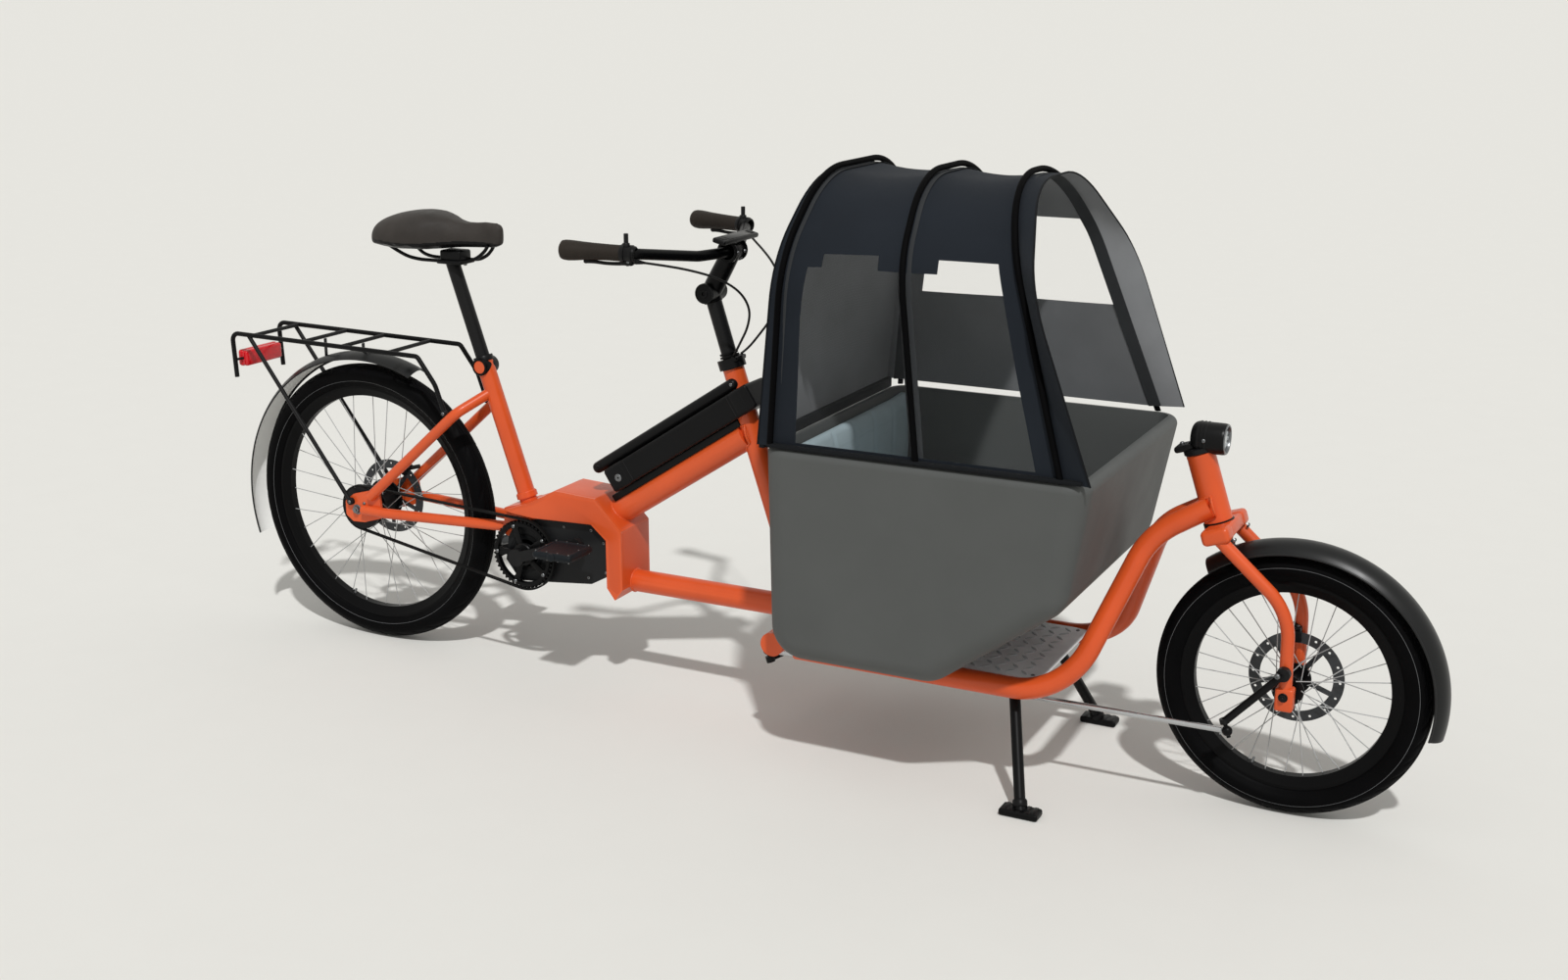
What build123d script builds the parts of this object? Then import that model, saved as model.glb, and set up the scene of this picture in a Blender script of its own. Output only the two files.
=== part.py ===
from build123d import *
import math
import os

# Electric cargo bike with a box and a rain tent between handlebar and front wheel.
# Millimetres. X runs forward, Y to the rider's left, Z up, the ground at Z = 0.
# Stations along X are counted from the rear axle. Each piece is moved back by
# MID_X when it is written, so that the origin lies under the middle of the bike.

# Wheels
WHEELBASE = 2161.0
REAR_R = 335.0
FRONT_R = 258.0
TYRE_W = 60.0
TYRE_SECTION = 54.0
BEAD_DEPTH = 6.0
TYRE_WRAP = 122.0
RIM_DEPTH = 21.0
RIM_W = 36.0
RIM_FLANGE = 2.5
RIM_FLOOR_W = 18.0
SPOKE_D = 2.0
SPOKES = 32
REAR_FLANGE_D = 96.0
FRONT_FLANGE_D = 60.0
FLANGE_T = 4.0
FLANGE_HOLE_IN = 4.0
SPOKE_LIFT = 2.2
REAR_FLANGE_Y = 30.0
FRONT_FLANGE_Y = 34.0
ROTOR_D = 180.0
ROTOR_RING = 21.0
ROTOR_T = 2.0
ROTOR_HOLES = 16
ROTOR_HOLE_D = 5.0
CARRIER_ARMS = 5
CARRIER_ARM_W = 10.0
CARRIER_HUB_D = 44.0
REAR_ROTOR_Y = 56.0
FRONT_ROTOR_Y = 42.0
AXLE_D = 12.0
REAR_HUB_D = 80.0
FRONT_HUB_D = 34.0

# Steering geometry: both steering axes lean back by the same angle
RAKE = 18.5
REAR_AXIS_X = 944.0
REAR_AXIS_Z = 827.0
FRONT_AXIS_X = 1984.0
FRONT_AXIS_Z = 617.0
HEAD_D = 46.0
HEAD_BORE = 34.0
HEAD_TOP_Z = 752.0
HEAD_BOTTOM_Z = 198.0
FRONT_HEAD_D = 50.0
FRONT_HEAD_TOP_Z = 680.0
FRONT_HEAD_BOTTOM_Z = 556.0
STEERER_D = 28.6
CUP_H = 9.0
CAP_D = 58.0
CAP_H = 21.0
BALL_DX = -61.0
BALL_Y = -100.0
FRONT_BALL_Z = 183.0
REAR_BALL_Z = 178.0
ROD_D = 11.0
ROD_END_D = 20.0
STUD_D = 8.0
STUD_CLEAR = 0.3

# Rear frame
SEAT_TUBE_D = 40.0
SEAT_FOOT_X = 436.0
SEAT_FOOT_Z = 396.0
SEAT_LEAN = 18.8
SEAT_TOP_Z = 707.0
SEAT_POST_D = 31.6
POST_FIT = 0.1
POST_TOP_Z = 925.0
POST_INSERT = 90.0
STAY_D = 24.0
STAY_Y = 79.5
STAY_FRONT_Y = 34.0
DROPOUT_Y = 69.0
DROPOUT_T = 7.0
BELT_Y = 57.5
BELT_W = 9.0
BELT_T = 4.0
BELT_GAP = 0.4
BRIDGE_W = 118.0
BRIDGE_LIP_W = 90.0
MOTOR_W = 92.0
CROSS_X = 1158.0
CROSS_Z = 232.0
CROSS_D = 50.0
CROSS_HALF = 196.0
MOTOR_FIT = 0.3
CRANK_X = 457.0
CRANK_Z = 285.0
CRANK_L = 170.0
CRANK_RISE = 18.0
CRANK_Y = 83.0
CRANK_T = 14.0
SPINDLE_D = 24.0
CHAINRING_D = 160.0
SPROCKET_D = 102.0
PEDAL_W = 94.0
PEDAL_L = 100.0
PEDAL_T = 18.0
DOWN_D = 60.0
DOWN_ANGLE = 33.2
DOWN_FOOT_X = 668.0
DOWN_FOOT_Z = 393.0
DOWN_L = 400.0
RAIL_D = 50.0
RAIL_Z = 246.0

# Front frame
TUBE_D = 42.0
TUBE_Y = 172.0
TUBE_Z = 223.0
TUBE_RISE_X = 1782.0
TUBE_TOP_X = 1893.0
TUBE_TOP_Y = 148.0
TUBE_TOP_Z = 532.0
TUBE_END_X = 1985.0
TUBE_END_Y = 20.0
TUBE_END_Z = 592.0
FIT = 0.3

# Stand
PIVOT_X = 1652.0
PIVOT_D = 18.0
LEG_D = 22.0
LEG_TOP_Y = 118.0
LUG_Y = 144.0
LUG_D = 28.0
SHAFT_Y = 152.0
FOOT_X = 1721.0
FOOT_Y = 252.0
FOOT_L = 78.0
FOOT_W = 38.0
FOOT_T = 14.0

# Box
BOX_REAR_X = 1198.0
BOX_FRONT_X = 1846.0
BOX_RIM_Z = 682.0
BOX_BOTTOM_Z = 244.5
BOX_HALF_RIM = 322.0
BOX_HALF_FLOOR = 302.0
BOX_WALL = 22.0
BOX_EDGE_R = 46.0
BOX_RIM_R = 16.0
BOX_SLOPE_X = 1545.0
BOX_CHIN_X = 1800.0
BOX_CHIN_Z = 432.0
BENCH_L = 300.0
BENCH_H = 190.0
BENCH_T = 16.0
CUSHION_T = 42.0
BACKREST_T = 34.0

# Tent: hoops stand in a fan, each in its own leaning plane
HOOP_D = 12.0
HOOP_GAP = 0.8
HOOP_RADII = (200.0, 230.0, 230.0, 200.0)
HOOP_BASE_Y = 320.0
HOOP_BASE_X = (1216.0, 1516.0, 1793.0)
HOOP_TOP_X = (1251.0, 1444.0, 1618.0)
HOOP_TOP_Z = 1200.0
HOOP_LEG_Y = (322.0, 290.0, 238.0)
HOOP_LEG_Z = (366.0, 367.0, 400.0)
HOOP_CROWN_Y = (165.0, 142.0, 128.0)
FABRIC_T = 3.0
FABRIC_REAR = 30.0
FABRIC_FRONT = 52.0
FABRIC_HEM = 8.0

# Cockpit
BAR_D = 22.2
GRIP_D = 33.0
GRIP_L = 122.0
KNOB_D = 43.0
KNOB_W = 60.0
KNOB_X = 918.0
KNOB_Z = 910.0
CLAMP_X = 969.0
CLAMP_Z = 1000.0
CLAMP_HALF = 24.0
ARM_DROP = 19.0
CABLE_D = 5.0

# Fenders
FENDER_T = 2.5
REAR_FENDER_R = 377.0
REAR_FENDER_X = -3.0
REAR_FENDER_Z = 323.0
REAR_FENDER_W = 64.0
REAR_FENDER_SAG = 13.0
FRONT_FENDER_R = 285.0
FRONT_FENDER_W = 74.0
FRONT_FENDER_SAG = 20.0

MID_X = (REAR_FENDER_X - REAR_FENDER_R + WHEELBASE + FRONT_FENDER_R) / 2

LEAN = math.radians(RAKE)
UP_AXIS = Vector(-math.sin(LEAN), 0, math.cos(LEAN))


def rear_axis(z):
    """Point of the rear steering axis at height z."""
    return Vector(REAR_AXIS_X + math.tan(LEAN) * (REAR_AXIS_Z - z), 0, z)


def front_axis(z):
    """Point of the front steering axis at height z."""
    return Vector(FRONT_AXIS_X + math.tan(LEAN) * (FRONT_AXIS_Z - z), 0, z)


def bar(start, end, diameter):
    """Round bar from one point to another."""
    start = Vector(*start) if isinstance(start, tuple) else start
    end = Vector(*end) if isinstance(end, tuple) else end
    run = end - start
    middle = start + run * 0.5
    return Plane(origin=middle, z_dir=run) * Cylinder(diameter / 2, run.length)


def bent_tube(points, diameter, radii):
    """Round tube along straight runs joined by tangent arcs."""
    path = FilletPolyline(*points, radius=radii)
    section = Plane(origin=path @ 0, z_dir=path % 0) * Circle(diameter / 2)
    return sweep(section, path=path)


def slab(face, y_low, y_high):
    """Extrude an XZ outline between two Y stations."""
    side = Plane(origin=(0, y_high, 0), x_dir=(1, 0, 0), z_dir=(0, -1, 0))
    return extrude(side * face, amount=y_high - y_low)


def outline(points):
    """Closed face from a list of corner points."""
    return make_face(Polyline(*points, close=True))


def rounded(points, radius):
    """Closed face with every corner rounded."""
    return fillet(outline(points).vertices(), radius)


def along_y(x, z, y_low, y_high, diameter):
    """Cylinder along Y at the side-view point (x, z)."""
    return bar((x, y_low, z), (x, y_high, z), diameter)


def both_sides(shape):
    """The shape and its mirror image across the bike's middle plane."""
    return shape + mirror(shape, about=Plane.XZ)


def pair(shape):
    """The shape and its mirror image as separate solids."""
    return [shape, mirror(shape, about=Plane.XZ)]


# ---------------------------------------------------------------- wheels

def spin(points, x, z):
    """Revolve a (radius, y) outline about a wheel axle at (x, z)."""
    face = outline([(r, y) for r, y in points])
    stand = Plane(origin=(x, 0, z), x_dir=(1, 0, 0), z_dir=(0, 0, -1))
    return revolve(stand * mirror(face, about=Plane.XZ), Axis((x, 0, z), (0, 1, 0)), 360)


def tyre(x, z, radius):
    """Tyre with a round section that narrows to the beads between the rim flanges."""
    crown = radius - TYRE_W / 2
    bead = radius - TYRE_SECTION + FIT
    bead_half = RIM_W / 2 - RIM_FLANGE - FIT
    shoulder = bead + BEAD_DEPTH
    angle = math.radians(TYRE_WRAP)
    low = (crown + TYRE_W / 2 * math.cos(angle), -TYRE_W / 2 * math.sin(angle))
    high = (low[0], -low[1])
    section = make_face(
        Curve()
        + [
            Line((bead, -bead_half), (shoulder, -bead_half)),
            Line((shoulder, -bead_half), low),
            ThreePointArc(low, (radius, 0), high),
            Line(high, (shoulder, bead_half)),
            Line((shoulder, bead_half), (bead, bead_half)),
            Line((bead, bead_half), (bead, -bead_half)),
        ]
    )
    stand = Plane(origin=(x, 0, z), x_dir=(1, 0, 0), z_dir=(0, 0, 1))
    return revolve(stand * section, Axis((x, 0, z), (0, 1, 0)), 360)


def rim(x, z, radius):
    """Deep rim: a floor for the tyre, two flanges and a tapered well."""
    bead = radius - TYRE_SECTION
    inner = bead - RIM_DEPTH
    half = RIM_W / 2
    floor = RIM_FLOOR_W / 2
    top = bead + BEAD_DEPTH
    section = outline(
        [
            (bead, -half + RIM_FLANGE),
            (top, -half + RIM_FLANGE),
            (top, -half),
            (bead - RIM_FLANGE, -half),
            (inner, -floor),
            (inner, floor),
            (bead - RIM_FLANGE, half),
            (top, half),
            (top, half - RIM_FLANGE),
            (bead, half - RIM_FLANGE),
        ]
    )
    stand = Plane(origin=(x, 0, z), x_dir=(1, 0, 0), z_dir=(0, 0, 1))
    return revolve(stand * section, Axis((x, 0, z), (0, 1, 0)), 360)


def spokes(x, z, radius, flange_y, flange_d):
    """Crossed spokes: each runs past a flange's face and out to the rim."""
    rim_inner = radius - TYRE_SECTION - RIM_DEPTH
    hole_r = flange_d / 2 - FLANGE_HOLE_IN
    end_y = RIM_FLOOR_W / 4
    step = 360 / SPOKES
    cross = 4 * step
    wires = []
    for number in range(SPOKES):
        side = 1 if number % 2 == 0 else -1
        lead = 1 if (number // 2) % 2 == 0 else -1
        rim_angle = math.radians(number * step)
        hub_angle = math.radians(number * step + lead * cross)
        face_y = flange_y + lead * ((FLANGE_T + SPOKE_D) / 2 + FIT)
        face_y += SPOKE_LIFT if lead > 0 else 0
        hub = Vector(
            x + hole_r * math.cos(hub_angle), side * face_y, z + hole_r * math.sin(hub_angle)
        )
        reach = rim_inner - FIT
        tip = Vector(
            x + reach * math.cos(rim_angle), side * end_y, z + reach * math.sin(rim_angle)
        )
        wires.append(bar(hub, tip, SPOKE_D))
    return wires


def hub(x, z, flange_y, flange_d, body_d, lock_y):
    """Hub shell with two spoke flanges and lock rings out to the dropouts."""
    shell = along_y(x, z, -lock_y, lock_y, AXLE_D * 2)
    shell += along_y(x, z, -flange_y, flange_y, body_d)
    for side in (-1, 1):
        middle = side * flange_y
        shell += along_y(x, z, middle - FLANGE_T / 2, middle + FLANGE_T / 2, flange_d)
    return shell


def rotor(x, z, y):
    """Brake disc: a drilled ring on a five-armed carrier."""
    ring_in = ROTOR_D / 2 - ROTOR_RING
    disc = along_y(x, z, y - ROTOR_T / 2, y + ROTOR_T / 2, ROTOR_D)
    disc -= along_y(x, z, y - ROTOR_T, y + ROTOR_T, 2 * ring_in)
    for number in range(ROTOR_HOLES):
        turn = math.radians(number * 360 / ROTOR_HOLES)
        reach = ring_in + ROTOR_RING * 0.6
        hole_x = x + reach * math.cos(turn)
        hole_z = z + reach * math.sin(turn)
        disc -= along_y(hole_x, hole_z, y - ROTOR_T, y + ROTOR_T, ROTOR_HOLE_D)
    boss = along_y(x, z, y - ROTOR_T / 2, y + ROTOR_T / 2, CARRIER_HUB_D)
    for number in range(CARRIER_ARMS):
        arm = Pos(ring_in / 2 + 1, 0, 0) * Box(ring_in + 2, ROTOR_T, CARRIER_ARM_W)
        arm = Pos(x, y, z) * (Rot(0, 72 * number + 20, 0) * arm)
        boss += arm
    disc += boss
    disc -= along_y(x, z, y - ROTOR_T, y + ROTOR_T, 2 * AXLE_D + 2 * FIT)
    return disc


# ---------------------------------------------------------------- rear frame

def seat_axis(z):
    """Point of the seat tube's axis at height z."""
    return Vector(SEAT_FOOT_X - math.tan(math.radians(SEAT_LEAN)) * (z - SEAT_FOOT_Z), 0, z)


def bridge_outline():
    """Side outline of the welded bridge that covers the motor's top and front."""
    return outline(
        [
            (410, 383),
            (482, 410),
            (547, 445),
            (652, 440),
            (718, 374),
            (718, 238),
            (698, 212),
            (678, 238),
            (678, 348),
            (640, 380),
            (486, 374),
            (430, 378),
        ]
    )


def bridge_lip():
    """Narrow rear part of the bridge that takes the chain stays."""
    return outline([(396, 322), (400, 384), (440, 396), (500, 400), (500, 373), (430, 352), (408, 318)])


def bridge():
    """Folded steel bridge over and in front of the motor."""
    shell = slab(bridge_outline(), -BRIDGE_W / 2, BRIDGE_W / 2)
    shell += slab(bridge_lip(), -BRIDGE_LIP_W / 2, BRIDGE_LIP_W / 2)
    return shell


def motor():
    """Motor housing below the bridge with a round boss at the spindle."""
    face = outline(
        [
            (409 , 317),
            (431, 351.5),
            (500, 372.5),
            (640, 379.5),
            (677.5, 347.5),
            (677.5, 262),
            (630, 236),
            (520, 224),
            (436, 216),
            (400, 262),
        ]
    )
    face = offset(face, amount=-MOTOR_FIT)
    body = slab(face, -MOTOR_W / 2, MOTOR_W / 2)
    body -= along_y(CRANK_X, CRANK_Z, -MOTOR_W, MOTOR_W, SPINDLE_D + 2 * FIT)
    return body


def seat_stay(side):
    """Stay from the dropout up past the tyre and in to the seat tube."""
    top = seat_axis(642)
    points = [(44, side * STAY_Y, 372), (302, side * STAY_Y, 599), (top.X, 0, top.Z)]
    return bent_tube(points, STAY_D, [45])


def chain_stay(side):
    """Stay from the dropout to the motor bridge, passing between the belt's runs."""
    points = [(20, side * STAY_Y, 337), (84, side * STAY_Y, 337), (410, side * STAY_FRONT_Y, 337)]
    return bent_tube(points, STAY_D, [120])


def dropout(side):
    """Plate that holds the rear axle's end."""
    face = rounded([(-34, 318), (-34, 352), (-8, 372), (66, 392), (72, 322), (20, 306), (-14, 304)], 8)
    low = side * DROPOUT_Y
    high = side * (DROPOUT_Y + DROPOUT_T)
    plate = slab(face, min(low, high), max(low, high))
    return plate


def rear_frame():
    """Seat tube, stays, dropouts and motor bridge as one weldment."""
    frame = bridge()
    frame += bar(seat_axis(SEAT_FOOT_Z - 6), seat_axis(SEAT_TOP_Z), SEAT_TUBE_D)
    frame += bar(seat_axis(402), seat_axis(413), SEAT_TUBE_D + 8)
    for side in (-1, 1):
        frame += seat_stay(side)
        frame += chain_stay(side)
        frame += dropout(side)
    frame -= bar(
        seat_axis(SEAT_TOP_Z - POST_INSERT - 5), seat_axis(SEAT_TOP_Z + 40), SEAT_POST_D + 2 * POST_FIT
    )
    for side in (-1, 1):
        frame -= along_y(0, REAR_R, side * DROPOUT_Y - 10, side * DROPOUT_Y + 20, AXLE_D + 2 * FIT)
    return frame


def down_tube():
    """Large tube from the bridge up to the steering head tube."""
    turn = math.radians(DOWN_ANGLE)
    start = Vector(DOWN_FOOT_X, 0, DOWN_FOOT_Z)
    end = start + Vector(math.cos(turn), 0, math.sin(turn)) * DOWN_L
    return bar(start, end, DOWN_D)


def head_tube():
    """Long steering head tube from the handlebar down to the rail."""
    return bar(rear_axis(HEAD_BOTTOM_Z), rear_axis(HEAD_TOP_Z), HEAD_D)


def rail():
    """Low tube from the bridge to the foot of the head tube."""
    foot = rear_axis(RAIL_Z)
    return bar((714, 0, RAIL_Z), (foot.X, 0, RAIL_Z), RAIL_D)


def cross_tube():
    """Cross tube behind the box at the foot of the head tube."""
    return bar((CROSS_X, -CROSS_HALF, CROSS_Z), (CROSS_X, CROSS_HALF, CROSS_Z), CROSS_D)


def head_bore():
    """Space for the steering column in the long head tube."""
    return bar(rear_axis(HEAD_BOTTOM_Z - 40), rear_axis(HEAD_TOP_Z + 40), HEAD_BORE)


def middle_frame():
    """Down tube, steering head tube, low rail and cross tube."""
    frame = down_tube() + head_tube() + rail() + cross_tube()
    frame -= bridge()
    frame -= head_bore()
    return frame


def front_tube(side, grown=0.0):
    """Tube that runs under the box and rises to the front head tube."""
    points = [
        (CROSS_X, side * TUBE_Y, TUBE_Z),
        (TUBE_RISE_X, side * TUBE_Y, TUBE_Z),
        (TUBE_TOP_X, side * TUBE_TOP_Y, TUBE_TOP_Z),
        (TUBE_END_X, side * TUBE_END_Y, TUBE_END_Z),
    ]
    return bent_tube(points, TUBE_D + 2 * grown, [185, 90])


def front_head():
    """Front head tube."""
    return bar(front_axis(FRONT_HEAD_BOTTOM_Z), front_axis(FRONT_HEAD_TOP_Z), FRONT_HEAD_D)


def stand_lug(side):
    """Bearing for the stand's shaft on the inner side of a front tube."""
    inner = side * LUG_Y
    outer = side * (TUBE_Y - TUBE_D / 2 + 5)
    lug = along_y(PIVOT_X, TUBE_Z, min(inner, outer), max(inner, outer), LUG_D)
    bore_end = side * (SHAFT_Y + 1)
    lug -= along_y(PIVOT_X, TUBE_Z, min(side * 100, bore_end), max(side * 100, bore_end), PIVOT_D + 2 * FIT)
    return lug


def front_frame():
    """Two long tubes, the front head tube and the stand's bearings."""
    frame = front_head()
    for side in (-1, 1):
        frame += front_tube(side)
        frame += stand_lug(side)
    frame -= cross_tube()
    frame -= bar(front_axis(FRONT_HEAD_BOTTOM_Z - 40), front_axis(FRONT_HEAD_TOP_Z + 40), HEAD_BORE)
    for side in (-1, 1):
        bore_end = side * (SHAFT_Y + 1)
        frame -= along_y(PIVOT_X, TUBE_Z, min(side * 100, bore_end), max(side * 100, bore_end), PIVOT_D + 2 * FIT)
    return frame


def plate_z():
    """Height where the step plate's edges rest on the front tubes."""
    reach = TUBE_D / 2 + FIT
    aside = TUBE_Y - PLATE_HALF
    return TUBE_Z + math.sqrt(reach * reach - aside * aside)


PLATE_HALF = 157.0
PLATE_T = 4.0
PLATE_X = (1504.0, 1718.0)


def step_plate():
    """Tread plate between the front tubes."""
    low, high = PLATE_X
    plate = Box(high - low, 2 * PLATE_HALF, PLATE_T, align=(Align.MIN, Align.CENTER, Align.MIN))
    plate = Pos(low, 0, plate_z()) * plate
    return plate - front_tube(-1, FIT) - front_tube(1, FIT)


# ---------------------------------------------------------------- drive

def belt_points(radius_front, radius_rear):
    """Open-belt outline round the two pulleys, as tangent points."""
    dx = CRANK_X
    dz = CRANK_Z - REAR_R
    span = math.hypot(dx, dz)
    base = math.atan2(dz, dx)
    spread = math.acos((radius_rear - radius_front) / span)
    up = base + spread
    down = base - spread
    rear_up = (radius_rear * math.cos(up), REAR_R + radius_rear * math.sin(up))
    rear_down = (radius_rear * math.cos(down), REAR_R + radius_rear * math.sin(down))
    front_up = (CRANK_X + radius_front * math.cos(up), CRANK_Z + radius_front * math.sin(up))
    front_down = (CRANK_X + radius_front * math.cos(down), CRANK_Z + radius_front * math.sin(down))
    rear_far = (-radius_rear * math.cos(base), REAR_R - radius_rear * math.sin(base))
    front_far = (CRANK_X + radius_front * math.cos(base), CRANK_Z + radius_front * math.sin(base))
    return rear_up, rear_far, rear_down, front_down, front_far, front_up


def belt_face(extra):
    """Face inside the belt loop, grown by extra."""
    front = CHAINRING_D / 2 + extra
    rear = SPROCKET_D / 2 + extra
    rear_up, rear_far, rear_down, front_down, front_far, front_up = belt_points(front, rear)
    return make_face(
        Curve()
        + [
            ThreePointArc(rear_up, rear_far, rear_down),
            Line(rear_down, front_down),
            ThreePointArc(front_down, front_far, front_up),
            Line(front_up, rear_up),
        ]
    )


def belt():
    """Drive belt loop round chainring and sprocket."""
    low = -BELT_Y - BELT_W / 2
    high = -BELT_Y + BELT_W / 2
    return slab(belt_face(BELT_GAP + BELT_T), low, high) - slab(belt_face(BELT_GAP), low - 1, high + 1)


def sprocket():
    """Rear belt sprocket."""
    wheel = along_y(0, REAR_R, -BELT_Y - BELT_W / 2, -BELT_Y + BELT_W / 2, SPROCKET_D)
    return wheel - along_y(0, REAR_R, -BELT_Y - BELT_W, -BELT_Y + BELT_W, 2 * AXLE_D + 2 * FIT)


def chainring():
    """Belt ring with five arms on the crank spindle."""
    low = -BELT_Y - BELT_W / 2
    high = -BELT_Y + BELT_W / 2
    ring = along_y(CRANK_X, CRANK_Z, low, high, CHAINRING_D)
    ring -= along_y(CRANK_X, CRANK_Z, low - 1, high + 1, CHAINRING_D - 30)
    ring += along_y(CRANK_X, CRANK_Z, low, high, 46)
    for number in range(5):
        arm = Pos(CHAINRING_D / 4, 0, 0) * Box(CHAINRING_D / 2 - 10, 5, 16)
        ring += Pos(CRANK_X, -BELT_Y, CRANK_Z) * (Rot(0, 72 * number + 36, 0) * arm)
    ring -= along_y(CRANK_X, CRANK_Z, low - 1, high + 1, SPINDLE_D)
    return ring


def pedal_point(side):
    """Side-view centre of a pedal axle; the right crank points forward."""
    turn = math.radians(CRANK_RISE)
    sign = -side
    return CRANK_X + sign * CRANK_L * math.cos(turn), CRANK_Z + sign * CRANK_L * math.sin(turn)


def crank_arms():
    """Spindle and two crank arms."""
    arms = along_y(CRANK_X, CRANK_Z, -CRANK_Y - CRANK_T / 2, CRANK_Y + CRANK_T / 2, SPINDLE_D)
    for side in (-1, 1):
        px, pz = pedal_point(side)
        low = min(side * (CRANK_Y - CRANK_T / 2), side * (CRANK_Y + CRANK_T / 2))
        high = low + CRANK_T
        arms += along_y(CRANK_X, CRANK_Z, low, high, 40)
        arms += along_y(px, pz, low, high, 28)
        middle = Vector((CRANK_X + px) / 2, side * CRANK_Y, (CRANK_Z + pz) / 2)
        beam = Box(CRANK_L, CRANK_T, 24)
        arms += Pos(middle) * (Rot(0, -CRANK_RISE, 0) * beam)
        arms -= along_y(px, pz, low - 1, high + 1, 10 + 2 * FIT)
    return arms


def pedal(side):
    """Platform pedal on its axle."""
    px, pz = pedal_point(side)
    inner = CRANK_Y + CRANK_T / 2 + 4
    plate = Box(PEDAL_L, PEDAL_W, PEDAL_T)
    plate = fillet(plate.edges().filter_by(Axis.Z), 16)
    body = Pos(px, side * (inner + PEDAL_W / 2), pz) * plate
    body += along_y(px, pz, side * (CRANK_Y - CRANK_T / 2), side * (inner + 10), 10)
    return body


# ---------------------------------------------------------------- battery and seat

def down_point(along, out, y=0.0):
    """Point given along the down tube's axis and out from its axis line."""
    turn = math.radians(DOWN_ANGLE)
    x = DOWN_FOOT_X + along * math.cos(turn) - out * math.sin(turn)
    z = DOWN_FOOT_Z + along * math.sin(turn) + out * math.cos(turn)
    return Vector(x, y, z)


def down_block(low, high, out_low, out_high, width, radius):
    """Rounded block that lies along the down tube."""
    block = Box(high - low, width, out_high - out_low)
    block = fillet(block.edges(), radius)
    middle = down_point((low + high) / 2, (out_low + out_high) / 2)
    return Pos(middle) * (Rot(0, -DOWN_ANGLE, 0) * block)


BATTERY_FROM = 60.0
BATTERY_TO = 478.0
BATTERY_LOW = 38.0
BATTERY_HIGH = 92.0
BATTERY_W = 90.0
MOUNT_W = 44.0


def battery():
    """Battery above the down tube, hollowed round the head tube."""
    block = down_block(BATTERY_FROM, BATTERY_TO, BATTERY_LOW, BATTERY_HIGH, BATTERY_W, 7)
    return block - bar(rear_axis(HEAD_BOTTOM_Z), rear_axis(HEAD_TOP_Z + 100), HEAD_D + 2 * FIT)


def battery_mount():
    """Rail between the down tube and the battery."""
    block = down_block(
        BATTERY_FROM - 30, BATTERY_TO - 70, DOWN_D / 2 - 8, BATTERY_LOW - FIT, MOUNT_W, 2
    )
    return block - down_tube() - bridge() - head_tube()


def top_bar():
    """Slim guard bar above the battery."""
    block = down_block(28, 462, BATTERY_HIGH + 8, BATTERY_HIGH + 32, 60, 10)
    block -= bar(rear_axis(HEAD_BOTTOM_Z), rear_axis(HEAD_TOP_Z + 100), HEAD_D + 2 * FIT)
    for along in (90, 330):
        block += down_block(along, along + 20, BATTERY_HIGH + FIT, BATTERY_HIGH + 12, 30, 1)
    return block


def seat_post():
    """Seat post, its clamp collar and the saddle clamp."""
    post = bar(seat_axis(SEAT_TOP_Z - POST_INSERT), seat_axis(POST_TOP_Z), SEAT_POST_D)
    post += bar(seat_axis(SEAT_TOP_Z + FIT), seat_axis(SEAT_TOP_Z + 12), SEAT_TUBE_D + 4)
    top = seat_axis(POST_TOP_Z)
    post += Pos(top.X, 0, POST_TOP_Z + 4) * Box(46, 50, 18)
    for side in (-1, 1):
        rail_points = [
            (80, side * 34, 953.3),
            (150, side * 24, 928),
            (330, side * 22, 932),
            (376, side * 16, 963.3),
        ]
        post += bent_tube(rail_points, 8, [40, 40])
    return post


SADDLE_REAR_X = 50.0
SADDLE_NOSE_X = 396.0


def saddle():
    """Saddle: a wide rear that narrows to a nose, lofted through half-oval sections."""
    stations = (
        (SADDLE_REAR_X, 60, 962, 1000),
        (90, 92, 957, 1018),
        (185, 88, 962, 1035),
        (290, 42, 966, 1020),
        (SADDLE_NOSE_X, 18, 970, 1020),
    )
    faces = []
    for x, half, low, high in stations:
        side = Plane(origin=(x, 0, 0), x_dir=(0, 1, 0), z_dir=(1, 0, 0))
        lift = (high - low) / 2
        face = rounded(
            [(-half, low), (half, low), (half * 0.8, high), (-half * 0.8, high)], min(half, lift) * 0.6
        )
        faces.append(side * face)
    return loft(faces)


# ---------------------------------------------------------------- rack, lamp, fenders

RACK_D = 10.0
RACK_Y = 80.0
RACK_Z = 721.0


def rack():
    """Luggage rack of bent tube with legs down to the dropouts."""
    frame = None
    for side in (-1, 1):
        y = side * RACK_Y
        points = [
            (-333, y, 622),
            (-327, y, RACK_Z),
            (204, y, RACK_Z),
            (250, y, 660),
            (275, y, 590),
        ]
        rail_side = bent_tube(points, RACK_D, [18, 14, 60])
        leg = bar((-284, y, RACK_Z), (-16, side * (DROPOUT_Y + DROPOUT_T + RACK_D / 2 + FIT), 356), RACK_D)
        frame = rail_side + leg if frame is None else frame + rail_side + leg
    for x in (-277, -128, -15, 120):
        frame += bar((x, -RACK_Y, RACK_Z), (x, RACK_Y, RACK_Z), RACK_D - 2)
    frame += Pos(-328.5, 0, 664) * Box(3, 2 * RACK_Y, 26)
    for side in (-1, 1):
        frame -= bar((44, side * STAY_Y, 372), (302, side * STAY_Y, 599), STAY_D + 2 * FIT)
    return frame


def tail_light():
    """Red lamp on the rack's rear plate."""
    lamp = Box(20, 140, 40)
    lamp = fillet(lamp.edges(), 6)
    return Pos(-330 - FIT - 10, 0, 665) * lamp


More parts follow.
